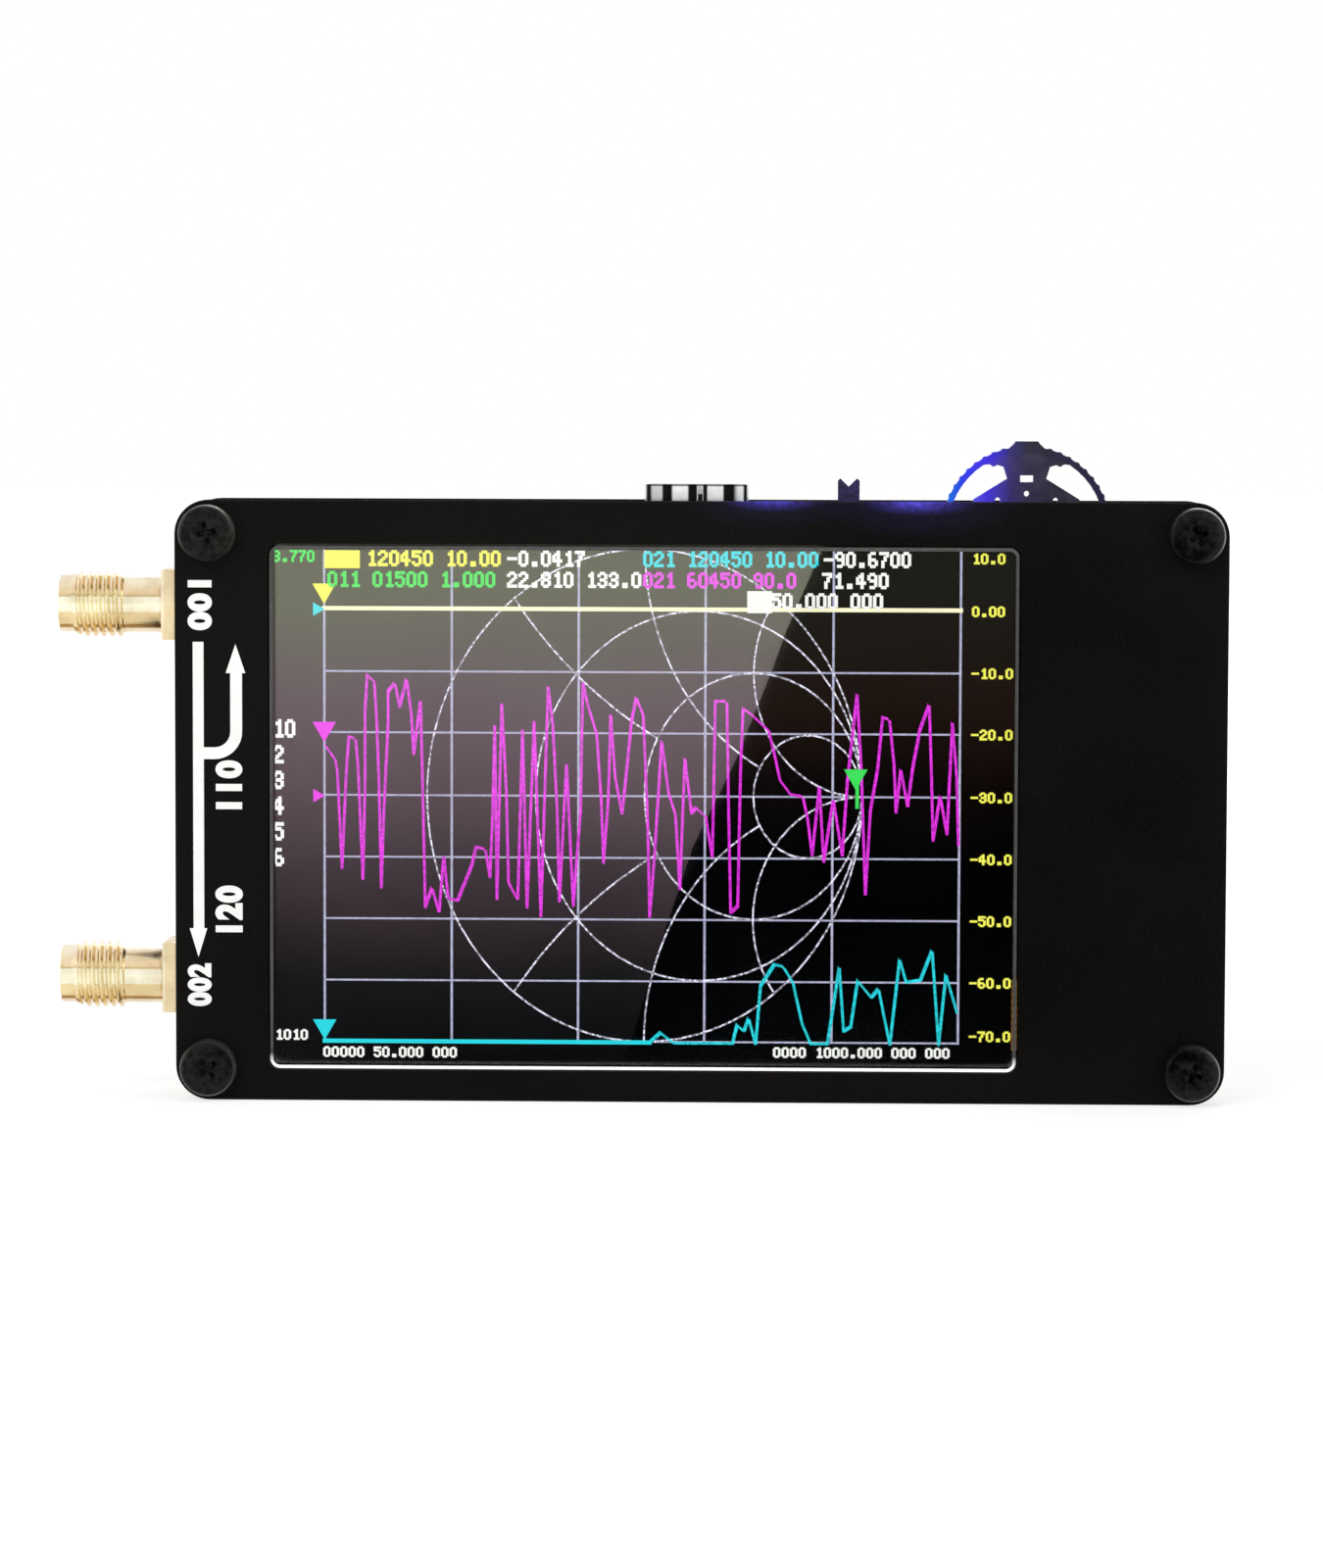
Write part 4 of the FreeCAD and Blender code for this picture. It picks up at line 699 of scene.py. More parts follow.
def screw_finish():
    """Blackened steel, with a painted highlight on rims and recess walls, strongest where they face
    right.
    """
    colours = bpy.context.scene.analyzer_colours
    material, tree, shader, where, coordinates = start_finish("black_steel", metallic=0.9)
    clouds = noise(tree, where, 0.5 * MM, 4.0)
    fine = noise(tree, where, 0.1 * MM)
    dark = blend_colours(
        tree, spread(tree, clouds, 0.35, 0.65), tint(colours.screw, 0.3),
        tint(colours.screw, 1.2),
    )
    # Painted highlight: rims and recess walls that face sideways are painted pale, most where they
    # face right and a little up.
    normal = coordinates.outputs["Normal"]
    level = face_on(tree, coordinates)
    side = spread(tree, level, 0.35, 0.7, 1.0, 0.0)
    lit = add_node(tree, "VectorMath", {0: normal, 1: (0.94, 0.0, 0.34)}, operation="DOT_PRODUCT")
    share_lit = spread(tree, lit.outputs["Value"], -0.3, 0.9, 0.08, 1.0)
    painted_rim_highlight = calculate(tree, "MULTIPLY", side, share_lit)
    tones = blend_colours(tree, painted_rim_highlight, dark, tuple(colours.painted_rim_highlight))
    coat(tree, shader, tones, spread(tree, clouds, 0.3, 0.7, 0.3, 0.5), fine, 0.006)
    return material


def ribbon_finish():
    """Amber film over rows of copper lines that run across the ribbon."""
    amber = bpy.context.scene.analyzer_colours.ribbon
    material, tree, shader, where, _ = start_finish("ribbon_film", Coat_Weight=0.4)
    lines = add_node(
        tree, "TexWave", {"Vector": where, "Scale": 1.0 / (1.9 * MM)}, bands_direction="Z"
    ).outputs["Fac"]
    clouds = noise(tree, where, 3.0 * MM, 4.0)
    copper = blend_colours(
        tree, spread(tree, lines, 0.45, 0.6), tint(amber, 0.45), amber
    )
    coat(tree, shader, copper, spread(tree, clouds, 0.3, 0.7, 0.22, 0.4), lines, 0.01)
    return material


def picture_light(name, colour, strength=1.3, dotted=0.0):
    """Light of the display's pixels, a little darker between them and broken up if dotted."""
    sizes = bpy.context.scene.analyzer_sizes
    material, tree, shader, where, coordinates = start_finish(name, Specular_IOR_Level=0.0)
    pitch = (COLUMNS / sizes.picture_width, 0.0, ROWS / sizes.picture_height)
    pixels = add_node(
        tree, "Mapping", {"Vector": coordinates.outputs["Object"], "Scale": pitch}
    )
    inside = add_node(tree, "VectorMath", {0: pixels.outputs[0]}, operation="FRACTION")
    off = add_node(
        tree, "VectorMath", {0: inside.outputs[0], 1: (0.5, 0.0, 0.5)}, operation="DISTANCE"
    )
    lit = spread(tree, off.outputs["Value"], 0.3, 0.75, 1.0, 0.82)
    waver = spread(tree, noise(tree, where, 5.0 * MM), 0.35, 0.65, 0.9, 1.0)
    level = calculate(tree, "MULTIPLY", lit, waver)
    if dotted:
        cell = add_node(tree, "VectorMath", {0: pixels.outputs[0]}, operation="FLOOR")
        chance = add_node(tree, "TexWhiteNoise", {"Vector": cell.outputs[0]}).outputs["Value"]
        specks = spread(tree, chance, 0.2, 0.7, 1.0 - dotted, 1.0)
        level = calculate(tree, "MULTIPLY", level, specks)
    light = blend_colours(tree, level, (0.0, 0.0, 0.0), colour)
    shader.inputs["Base Color"].default_value = (0.0, 0.0, 0.0, 1.0)
    shader.inputs["Roughness"].default_value = 0.6
    tree.links.new(light, shader.inputs["Emission Color"])
    shader.inputs["Emission Strength"].default_value = strength
    return material


# ---- pieces ----


class AnalyzerStep(bpy.types.Operator):
    """One step in dressing the analyzer"""

    bl_options = {"REGISTER", "UNDO"}

    @property
    def sizes(self):
        return bpy.context.scene.analyzer_sizes

    @property
    def colours(self):
        return bpy.context.scene.analyzer_colours

    def plain(self, nodes, name, colour, rough, **settings):
        """Gives CAD pieces, named in one string, a plain finish."""
        dress(make_finish(name, colour, rough, **settings), *nodes.split())


class ANALYZER_OT_panels(AnalyzerStep):
    """Finish the front and back panels in black solder mask"""

    bl_idname = "analyzer.panels"
    bl_label = "Panels"

    def execute(self, context):
        dress(panel_finish("front_panel_mask", True), "front_panel")
        dress(panel_finish("back_panel_mask", False), "back_panel")
        return {"FINISHED"}


class ANALYZER_OT_panel_print(AnalyzerStep):
    """Print the arrows and plain numbers beside the ports"""

    bl_idname = "analyzer.panel_print"
    bl_label = "Panel print"

    def mark(self, outline):
        """A flat printed mark with this outline on the front panel, given in mm."""
        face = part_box("front_panel")[0].y
        piece = draw_face([(x * MM, face, z * MM) for x, z in outline])
        shape(piece)
        bpy.ops.mesh.extrude_region_move(
            TRANSFORM_OT_translate={"value": (0, -self.sizes.print_thick, 0)}
        )
        close_shape()
        turn_out(piece)
        return piece

    def number(self, text, left, right, bottom, top):
        """A bold number that reads upwards and fills a place on the front panel, in mm."""
        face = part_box("front_panel")[0].y
        let_go()
        bpy.ops.object.text_add()
        piece = active()
        piece.data.body = text
        piece.data.offset = 0.05
        piece.data.space_character = 1.14
        piece.data.extrude = 0.02
        piece.data.bevel_depth = 0.012
        piece.data.bevel_resolution = 2
        hold(piece)
        bpy.ops.object.convert(target="MESH")
        piece = active()
        low = Vector([min(v.co[i] for v in piece.data.vertices) for i in range(3)])
        high = Vector([max(v.co[i] for v in piece.data.vertices) for i in range(3)])
        size = high - low
        fit = Matrix.Diagonal((
            (top - bottom) * MM / size.x, (right - left) * MM / size.y,
            self.sizes.print_thick / size.z, 1.0,
        ))
        stand = Matrix(((0, -1, 0, 0), (0, 0, -1, 0), (1, 0, 0, 0), (0, 0, 0, 1)))
        corner = Matrix.Translation((right * MM, face, bottom * MM))
        place(piece, corner @ stand @ fit @ Matrix.Translation(-low))
        turn_out(piece)
        return piece

    def execute(self, context):
        # Painted light: the ink carries a faint white emission that keeps it bright.
        white = make_finish(
            "panel_print_ink", self.colours.print, (0.5, 0.7), patch=1.5, grain=0.15, bump=0.003,
            vary=0.06, Emission_Color=(1.0, 1.0, 1.0, 1.0), Emission_Strength=0.2,
        )
        down = self.mark([
            (-37.75, 38.98), (-37.75, 14.65), (-38.08, 14.65), (-37.34, 12.2), (-36.59, 14.65),
            (-36.84, 14.65), (-36.84, 38.98),
        ])
        finish_piece(down, "print_arrow_down", white)
        turn = [math.radians(a) for a in range(0, 91, 9)]
        outer, inner, middle = 2.35, 1.35, (-35.93, 31.4)
        back = self.mark(
            [(-36.84, middle[1] - outer)]
            + [(middle[0] + outer * math.sin(a), middle[1] - outer * math.cos(a)) for a in turn]
            + [(-33.58, 36.35), (-33.3, 36.35), (-34.13, 38.8), (-34.96, 36.35), (-34.58, 36.35)]
            + [
                (middle[0] + inner * math.sin(a), middle[1] - inner * math.cos(a))
                for a in reversed(turn)
            ]
            + [(-36.84, middle[1] - inner)]
        )
        finish_piece(back, "print_arrow_back", white)
        for name, text, spot in (
            ("print_port_1", "001", (-38.18, -36.11, 39.97, 44.2)),
            ("print_turned", "110", (-35.85, -33.57, 24.8, 28.95)),
            ("print_through", "120", (-35.9, -33.55, 14.32, 18.3)),
            ("print_port_2", "002", (-38.27, -36.23, 8.0, 11.66)),
        ):
            finish_piece(self.number(text, *spot), name, white)
        return {"FINISHED"}


class ANALYZER_OT_screws(AnalyzerStep):
    """Model the cross-headed pan screws at the case's corners"""

    bl_idname = "analyzer.screws"
    bl_label = "Case screws"

    def screw(self, shank):
        """One screw that stands on z = 0 with its shank downwards."""
        sizes = self.sizes
        radius, tall, deep = sizes.head_width / 2, sizes.head_height, 0.85 * MM
        let_go()
        bpy.ops.mesh.primitive_cylinder_add(
            vertices=64, radius=radius, depth=tall, location=(0, 0, tall / 2)
        )
        piece = active()
        place(piece, Matrix.Identity(4))
        shape(piece)
        choose(piece, "EDGE", lambda e: all(v.co.z > tall * 0.9 for v in e.verts))
        bpy.ops.mesh.bevel(offset=tall * 0.62, segments=8, profile=0.62, affect="EDGES")
        choose(piece, "FACE", lambda f: f.normal.z < -0.9)
        bpy.ops.mesh.inset(thickness=radius - sizes.shank_width / 2, depth=0.0)
        bpy.ops.mesh.extrude_region_move(TRANSFORM_OT_translate={"value": (0, 0, -shank)})
        bpy.ops.mesh.bevel(offset=0.35 * MM, segments=1, affect="EDGES")
        close_shape()
        for turn in (0.0, math.pi / 2):
            let_go()
            bpy.ops.mesh.primitive_cube_add(
                size=1.0, location=(0, 0, tall - deep / 2 + 0.1 * MM), rotation=(0, 0, turn),
                scale=(sizes.recess_long, sizes.recess_wide, deep + 0.2 * MM),
            )
            cutter = active()
            place(cutter, Matrix.Identity(4))
            shape(cutter)
            choose(cutter, "FACE", lambda f: f.normal.z < -0.9)
            bpy.ops.transform.resize(value=(0.45, 0.45, 1.0), center_override=(0, 0, tall - deep))
            close_shape()
            modify(piece, "BOOLEAN", object=cutter, operation="DIFFERENCE", solver="EXACT")
            bpy.data.objects.remove(cutter)
        soften(piece, 0.035 * MM, angle=40)
        return piece

    def execute(self, context):
        steel = screw_finish()
        turns = {(-1, -1): 38, (-1, 1): 12, (1, -1): 71, (1, 1): 24}
        for node, name, front in (
            ("front_screws", "front_pan_screws", True), ("back_screws", "back_pan_screws", False)
        ):
            low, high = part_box(node)
            seat = low.y + self.sizes.head_height if front else high.y - self.sizes.head_height
            shank = (high.y - seat) if front else (seat - low.y)
            inset = self.sizes.head_width / 2
            model = self.screw(shank)
            made = []
            for (side, end), turn in turns.items():
                piece = copy_of(model)
                x = low.x + inset if side < 0 else high.x - inset
                z = low.z + inset if end < 0 else high.z - inset
                lean = Matrix.Rotation(math.pi / 2 if front else -math.pi / 2, 4, "X")
                spin = Matrix.Rotation(math.radians(turn), 4, "Z")
                made.append(place(piece, Matrix.Translation((x, seat, z)) @ lean @ spin))
            bpy.data.objects.remove(model)
            finish_piece(join(made), name, steel, replaces=(node,))
        return {"FINISHED"}


class ANALYZER_OT_ports(AnalyzerStep):
    """Model the two threaded gold ports with their helical threads"""

    bl_idname = "analyzer.ports"
    bl_label = "Ports"

    def barrel(self, long):
        """The turned body, its tip at z = 0 and its back at z = long."""
        sizes = self.sizes
        mouth, crest, root = sizes.port_mouth / 2, sizes.thread_crest / 2, sizes.thread_root / 2
        start, stop = 1.35 * MM, 5.58 * MM
        tip, bore, neck, deep = sizes.port_tip / 2, 2.05 * MM, 2.46 * MM, 1.9 * MM
        section = [
            (bore, deep), (mouth, deep), (mouth, 0.0), (tip - 0.06 * MM, 0.0),
            (tip, 0.06 * MM), (tip, start - 0.25 * MM),
            (root, start), (root, stop), (neck, stop + 0.15 * MM), (neck, long), (bore, long),
        ]
        body = draw_line([(r, 0, z) for r, z in section])
        close_line(body)
        turn_round(body, 72)
        soften(body, 0.04 * MM, angle=40)
        pitch = sizes.thread_pitch
        begin = start - 1.1 * pitch
        ridge = draw_line([
            (root - 0.06 * MM, 0, begin), (crest, 0, begin + 0.34 * pitch),
            (crest, 0, begin + 0.5 * pitch), (root - 0.06 * MM, 0, begin + 0.84 * pitch),
        ])
        close_line(ridge)
        close_shape()
        place(ridge, Matrix.Identity(4))
        turns = 7
        modify(
            ridge, "SCREW", axis="Z", angle=2 * math.pi, screw_offset=pitch, iterations=turns,
            steps=56, render_steps=56, use_merge_vertices=True, merge_threshold=0.001 * MM,
        )
        shape(ridge)
        bpy.ops.mesh.select_mode(type="EDGE")
        bpy.ops.mesh.select_all(action="DESELECT")
        bpy.ops.mesh.select_non_manifold()
        bpy.ops.mesh.edge_face_add()
        close_shape()
        turn_out(ridge)
        envelope = draw_line([
            (0, 0, start - 0.7 * pitch), (root - 0.1 * MM, 0, start - 0.7 * pitch),
            (crest, 0, start + 0.9 * pitch), (crest + 0.1 * MM, 0, stop - 0.5 * pitch),
            (root - 0.1 * MM, 0, stop + 0.1 * pitch), (0, 0, stop + 0.1 * pitch),
        ])
        turn_round(envelope, 64)
        modify(ridge, "BOOLEAN", object=envelope, operation="INTERSECT", solver="EXACT")
        bpy.data.objects.remove(envelope)
        hold(ridge)
        bpy.ops.object.shade_smooth_by_angle(angle=math.radians(25))
        return [body, ridge]

    def block(self, low, high, round_by):
        """A small block with softened edges between two corners, in mm."""
        let_go()
        low, high = Vector(low) * MM, Vector(high) * MM
        bpy.ops.mesh.primitive_cube_add(size=1.0, location=(low + high) / 2, scale=high - low)
        piece = active()
        place(piece, Matrix.Identity(4))
        soften(piece, round_by * MM)
        return piece

    def execute(self, context):
        gold = gold_finish()
        dress(gold, "port_1_contact", "port_2_contact", "usb_contacts")
        self.plain(
            "port_1_insulator port_2_insulator", "port_insulator", self.colours.insulator,
            (0.35, 0.5), vary=0.06,
        )
        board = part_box("main_board")
        for number in (1, 2):
            node = f"port_{number}_shell"
            low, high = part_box(node)
            axis_y, axis_z = (low.y + high.y) / 2, (low.z + high.z) / 2
            back = board[0].x
            parts = self.barrel(back - FLANGE_THICK - low.x + 0.3 * MM)
            lay = Matrix.Translation((low.x, axis_y, axis_z)) @ Matrix.Rotation(math.pi / 2, 4, "Y")
            parts = [place(part, lay) for part in parts]
            x, y, z, end = back / MM, axis_y / MM, axis_z / MM, high.x / MM
            half = (high.z - low.z) / MM / 2
            tall = self.sizes.flange_height / MM / 2
            face = x - FLANGE_THICK / MM
            flange = self.block((face, y - half, z - tall), (x, y + half, z + tall), 0.12)
            parts.append(flange)
            front, rear = board[0].y / MM, board[1].y / MM
            for side in (-1, 1):
                inner, outer = sorted((side * half, side * (half - 1.0)))
                for near, far in ((front - 1.0, front), (rear, rear + 1.0)):
                    leg = self.block((x - 0.2, near, z + inner), (end, far, z + outer), 0.1)
                    parts.append(leg)
            finish_piece(join(parts), f"port_{number}_body", gold, replaces=(node,))
        return {"FINISHED"}


class ANALYZER_OT_screen(AnalyzerStep):
    """Finish the glass, display and tapes of the screen"""

    bl_idname = "analyzer.screen"
    bl_label = "Screen glass"

    def execute(self, context):
        colours = self.colours
        dress(glass_finish(), "touch_glass")
        self.plain(
            "lcd_glass", "display_face", colours.display, (0.06, 0.16), patch=12.0, grain=0.2,
            bump=0.0006, vary=0.3, Specular_IOR_Level=0.5,
        )
        self.plain(
            "touch_tape screen_tape battery_tape", "foam_tape", colours.tape, (0.7, 0.9),
            patch=1.0, grain=0.12, bump=0.02,
        )
        self.plain(
            "lcd_backlight", "backlight_frame", colours.print, (0.4, 0.55), patch=6.0, vary=0.08
        )
        dress(ribbon_finish(), "lcd_ribbon", "touch_ribbon")
        return {"FINISHED"}


class ANALYZER_OT_picture(AnalyzerStep):
    """Draw the display's grid, round chart, traces, markers and plain numbers"""

    bl_idname = "analyzer.picture"
    bl_label = "Display picture"

    def at(self, column, row, layer):
        """A place on the display; higher layers lie nearer the glass."""
        wide, high = self.sizes.picture_width, self.sizes.picture_height
        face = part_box("lcd_glass")[0].y
        return Vector((
            PICTURE_CENTRE[0] + (column / COLUMNS - 0.5) * wide,
            face - (0.03 + 0.02 * layer) * MM,
            PICTURE_CENTRE[1] + (0.5 - row / ROWS) * high,
        ))

    def bar(self, first, last, wide, layer):
        """A straight upright or level line."""
        a, b = self.at(*first, layer), self.at(*last, layer)
        let_go()
        bpy.ops.mesh.primitive_plane_add(
            size=1.0, location=(a + b) / 2, rotation=(math.pi / 2, 0, 0)
        )
        piece = active()
        piece.scale = (abs(b.x - a.x) + wide, abs(b.z - a.z) + wide, 1.0)
        place(piece, Matrix.Identity(4))
        return face_front(piece)

    def trace(self, points, wide, layer):
        """A measured line, drawn with a square pen."""
        spots = [self.at(column, row, layer) for column, row in points]
        piece = draw_line(spots)
        choose_all()
        bpy.ops.mesh.duplicate()
        bpy.ops.mesh.extrude_edges_move(TRANSFORM_OT_translate={"value": (0, 0, wide)})
        choose(piece, "EDGE", lambda e: not e.link_faces)
        bpy.ops.mesh.extrude_edges_move(TRANSFORM_OT_translate={"value": (wide, 0, 0)})
        choose_all()
        bpy.ops.mesh.dissolve_degenerate(threshold=0.002 * MM)
        choose(piece, "EDGE", lambda e: not e.link_faces)
        bpy.ops.mesh.delete(type="EDGE")
        close_shape()
        place(piece, Matrix.Translation((-wide / 2, 0, -wide / 2)))
        return face_front(piece)

    def arc(self, middle, radius, start, sweep):
        """Part of a ring of the round chart, in shares of the chart's radius."""
        sizes = self.sizes
        centre = self.at(*CHART_MIDDLE, CHART)
        full, wide = sizes.chart_radius, sizes.chart_line
        hub = centre + Vector((middle[0] * full, 0, middle[1] * full))
        out = Vector((math.cos(math.radians(start)), 0, math.sin(math.radians(start))))
        piece = draw_line([hub + out * (radius * full + side * wide / 2) for side in (-1, 1)])
        choose_all()
        steps = max(12, int(abs(sweep) * radius / 3))
        bpy.ops.mesh.spin(
            steps=steps, angle=math.radians(sweep), center=hub, axis=(0, 1, 0)
        )
        choose_all()
        bpy.ops.mesh.remove_doubles(threshold=0.001 * MM)
        close_shape()
        narrow = Matrix.Diagonal((CHART_NARROWED, 1, 1, 1))
        place(piece, Matrix.Translation(centre) @ narrow @ Matrix.Translation(-centre))
        return face_front(piece)

    def triangle(self, column, row, across, turn):
        """A pointer; turn 0 points down and 90 to the right."""
        let_go()
        bpy.ops.mesh.primitive_circle_add(
            vertices=3, radius=across / math.sqrt(3), fill_type="NGON",
            location=self.at(column, row, MARKERS),
            rotation=(math.pi / 2, math.radians(180 - turn), 0),
        )
        piece = active()
        place(piece, Matrix.Identity(4))
        return face_front(piece)

    def reading(self, text, column, row, pitch=4.86, tall=7.5):
        """A bold number of lit pixels; column and row are those of its top left corner."""
        halves, lines = 10 * len(text), 15
        first = self.at(column, row, READINGS)
        last = self.at(column + len(text) * pitch, row + tall, READINGS)
        let_go()
        bpy.ops.mesh.primitive_grid_add(
            x_subdivisions=halves, y_subdivisions=lines, size=1.0, location=(first + last) / 2,
            rotation=(math.pi / 2, 0, 0),
        )
        piece = active()

        def pixel(half, line):
            figure, spot = divmod(half // 2, 5)
            if half < 0 or spot > 3 or not 0 <= line < 14:
                return False
            return int(DIGITS[text[figure]][line // 2], 16) >> 3 - spot & 1

        def dark(face):
            middle = face.calc_center_median()
            half, line = int((middle.x + 0.5) * halves), int((0.5 - middle.y) * lines)
            return not any(pixel(half - i, line - j) for i in (0, 1) for j in (0, 1))

        shape(piece)
        choose(piece, "FACE", dark)
        bpy.ops.mesh.delete(type="FACE")
        close_shape()
        piece.scale = (last.x - first.x, first.z - last.z, 1.0)
        place(piece, Matrix.Identity(4))
        return face_front(piece)

    def execute(self, context):
        sizes, colours = self.sizes, self.colours
        light = {
            name: picture_light(f"picture_{name}", getattr(colours, f"line_{name}"))
            for name in ("white", "pale", "yellow", "green", "cyan", "magenta")
        }
        light["grid"] = picture_light("picture_grid", colours.line_grid, 1.0, 0.25)
        light["chart"] = picture_light("picture_chart", colours.line_chart, 1.4, 0.8)
        light["phase"] = picture_light("picture_phase", colours.line_magenta, 1.35, 0.35)
        light["level"] = picture_light("picture_level", colours.line_cyan, 1.35, 0.35)

        def finish(pieces, name, shade):
            finish_piece(join(pieces), name, light[shade])

        uprights = [22.4, 77.4, 132.1, 186.7, 241.7, 296.3]
        levels = [28.7, 57.8, 86.1, 115.2, 143.9, 172.6, 201.3, 229.5]
        lines = [self.bar((x, 0.5), (x, 229.5), sizes.grid_line, GRID) for x in uprights]
        lines += [self.bar((22.4, y), (296.3, y), sizes.grid_line * 0.8, GRID) for y in levels]
        finish(lines, "screen_grid", "grid")

        rings = [self.arc((0, 0), 1.0, 0, 360)]
        rings += [self.arc((1 - r, 0), r, 0, 360) for r in (0.75, 0.5, 0.25)]
        for x, start, sweep in ((0.5, -143.13, 25.06), (1.0, -180.0, 61.93), (2.0, 143.13, 126.87)):
            rings.append(self.arc((1, 1 / x), 1 / x, start, sweep))
            rings.append(self.arc((1, -1 / x), 1 / x, -start, -sweep))
        finish(rings, "screen_chart", "chart")

        finish(
            [self.bar((22.4, 28.7), (296.3, 28.7), sizes.level_line, PALE)],
            "trace_pale", "pale",
        )
        for name, spots, shade, layer in (
            ("trace_cyan", LEVEL_TRACE, "level", LEVEL),
            ("trace_magenta", PHASE_TRACE, "phase", PHASE),
        ):
            points = [tuple(float(n) for n in spot.split(",")) for spot in spots.split()]
            finish([self.trace(points, sizes.trace_line, layer)], name, shade)
        finish(
            [self.bar((22.4, 229.8), (163, 229.8), sizes.level_line, MARKERS)],
            "trace_cyan_level", "cyan",
        )

        small, large = 1.15 * MM, 2.0 * MM
        finish([self.triangle(22.4, 20.5, large, 0)], "marker_yellow", "yellow")
        finish(
            [self.triangle(19.3, 29.2, small, 90), self.triangle(22.4, 223.0, large, 0)],
            "marker_cyan", "cyan",
        )
        finish(
            [self.triangle(22.4, 84.5, large, 0), self.triangle(19.3, 115.6, small, 90)],
            "marker_magenta", "magenta",
        )
        finish(
            [
                self.triangle(251.6, 105.5, large, 0),
                self.bar((252, 108), (252.5, 120), 0.2 * MM, MARKERS),
            ],
            "marker_green", "green",
        )

        read, little = self.reading, {"pitch": 3.65, "tall": 5.0}
        finish([
            read("3.770", 0.2, 1.9, pitch=3.7, tall=5.6), read("011 01500 1.000", 23.8, 11.5),
        ], "readings_green", "green")
        labels = ["10.0", "0.00"] + [f"-{n}0.0" for n in range(1, 8)]
        rows = [4.9, 29.2, 57.8, 86.1, 115.2, 143.9, 172.6, 201.3, 226.2]
        finish(
            [
                self.bar((22.8, 2.2), (37.6, 10.0), 0.1 * MM, READINGS),
                read("120450 10.00", 40.7, 1.8),
            ]
            + [read(text, 301.0, row - 2.5, **little) for text, row in zip(labels, rows)],
            "readings_yellow", "yellow",
        )
        finish([read("021 120450 10.00", 159.7, 1.8, pitch=4.74)], "readings_cyan", "cyan")
        finish([read("021 60450 90.0", 159.7, 11.5, pitch=4.74)], "readings_magenta", "magenta")
        column = ("10", "2", "3", "4", "5", "6")
        finish(
            [
                read("-0.0417", 101.2, 1.8), read("-90.6700", 237.3, 1.8, pitch=4.75),
                read("22.810 133.0", 101.2, 11.5), read("71.490", 236.6, 11.5),
                self.bar((204.8, 20.4), (215.0, 30.0), 0.1 * MM, READINGS),
                read("50.000 000", 214.8, 21.0),
                read("1010", 0.9, 224.5, **little), read("00000 50.000 000", 21.7, 232.4, **little),
                read("0000 1000.000 000 000", 216.5, 231.6, **little),
            ]
            + [
                read(text, 0.4, 80.2 + 11.95 * line, pitch=5.0, tall=8.6)
                for line, text in enumerate(column)
            ],
            "readings_white", "white",
        )
        return {"FINISHED"}


class ANALYZER_OT_top_edge(AnalyzerStep):
    """Finish the charging socket, power switch and status lights"""

    bl_idname = "analyzer.top_edge"
    bl_label = "Socket, switch and lights"

    def execute(self, context):
        colours = self.colours
        dress(shell_finish(), "usb_shell")
        self.plain(
            "usb_tongue", "moulded_plastic", colours.plastic, (0.4, 0.58), patch=1.8, grain=0.1,
            Specular_IOR_Level=0.4,
        )
        # Painted light: the knob's violet tint stands in for the status lights' glow on its grey
        # plastic.
        self.plain(
            "power_switch_knob", "knob_plastic", colours.knob, (0.45, 0.6), patch=0.4, grain=0.1,
            vary=0.55, Specular_IOR_Level=0.3,
        )
        material, tree, shader, where, _ = start_finish("lit_blue", Specular_IOR_Level=0.5)
        shader.inputs["Base Color"].default_value = (*colours.glow, 1.0)
        clouds = noise(tree, where, 0.5 * MM)
        light = blend_colours(
            tree, spread(tree, clouds, 0.3, 0.7), tuple(colours.glow), tone("8fb4ff")
        )
        tree.links.new(light, shader.inputs["Emission Color"])
        tree.links.new(spread(tree, clouds, 0.3, 0.7, 0.2, 0.4), shader.inputs["Roughness"])
        shader.inputs["Emission Strength"].default_value = 12.0
        dress(material, "status_leds")
        return {"FINISHED"}


class ANALYZER_OT_jog_wheel(AnalyzerStep):
    """Finish the jog wheel, its carriage and its housing"""

    bl_idname = "analyzer.jog_wheel"
    bl_label = "Jog wheel"

    def execute(self, context):
        dress(wheel_finish(), "jog_wheel")
        self.plain(
            "jog_base jog_carriage", "jog_plastic", self.colours.plastic, (0.42, 0.6), patch=2.0,
            grain=0.12,
        )
        return {"FINISHED"}


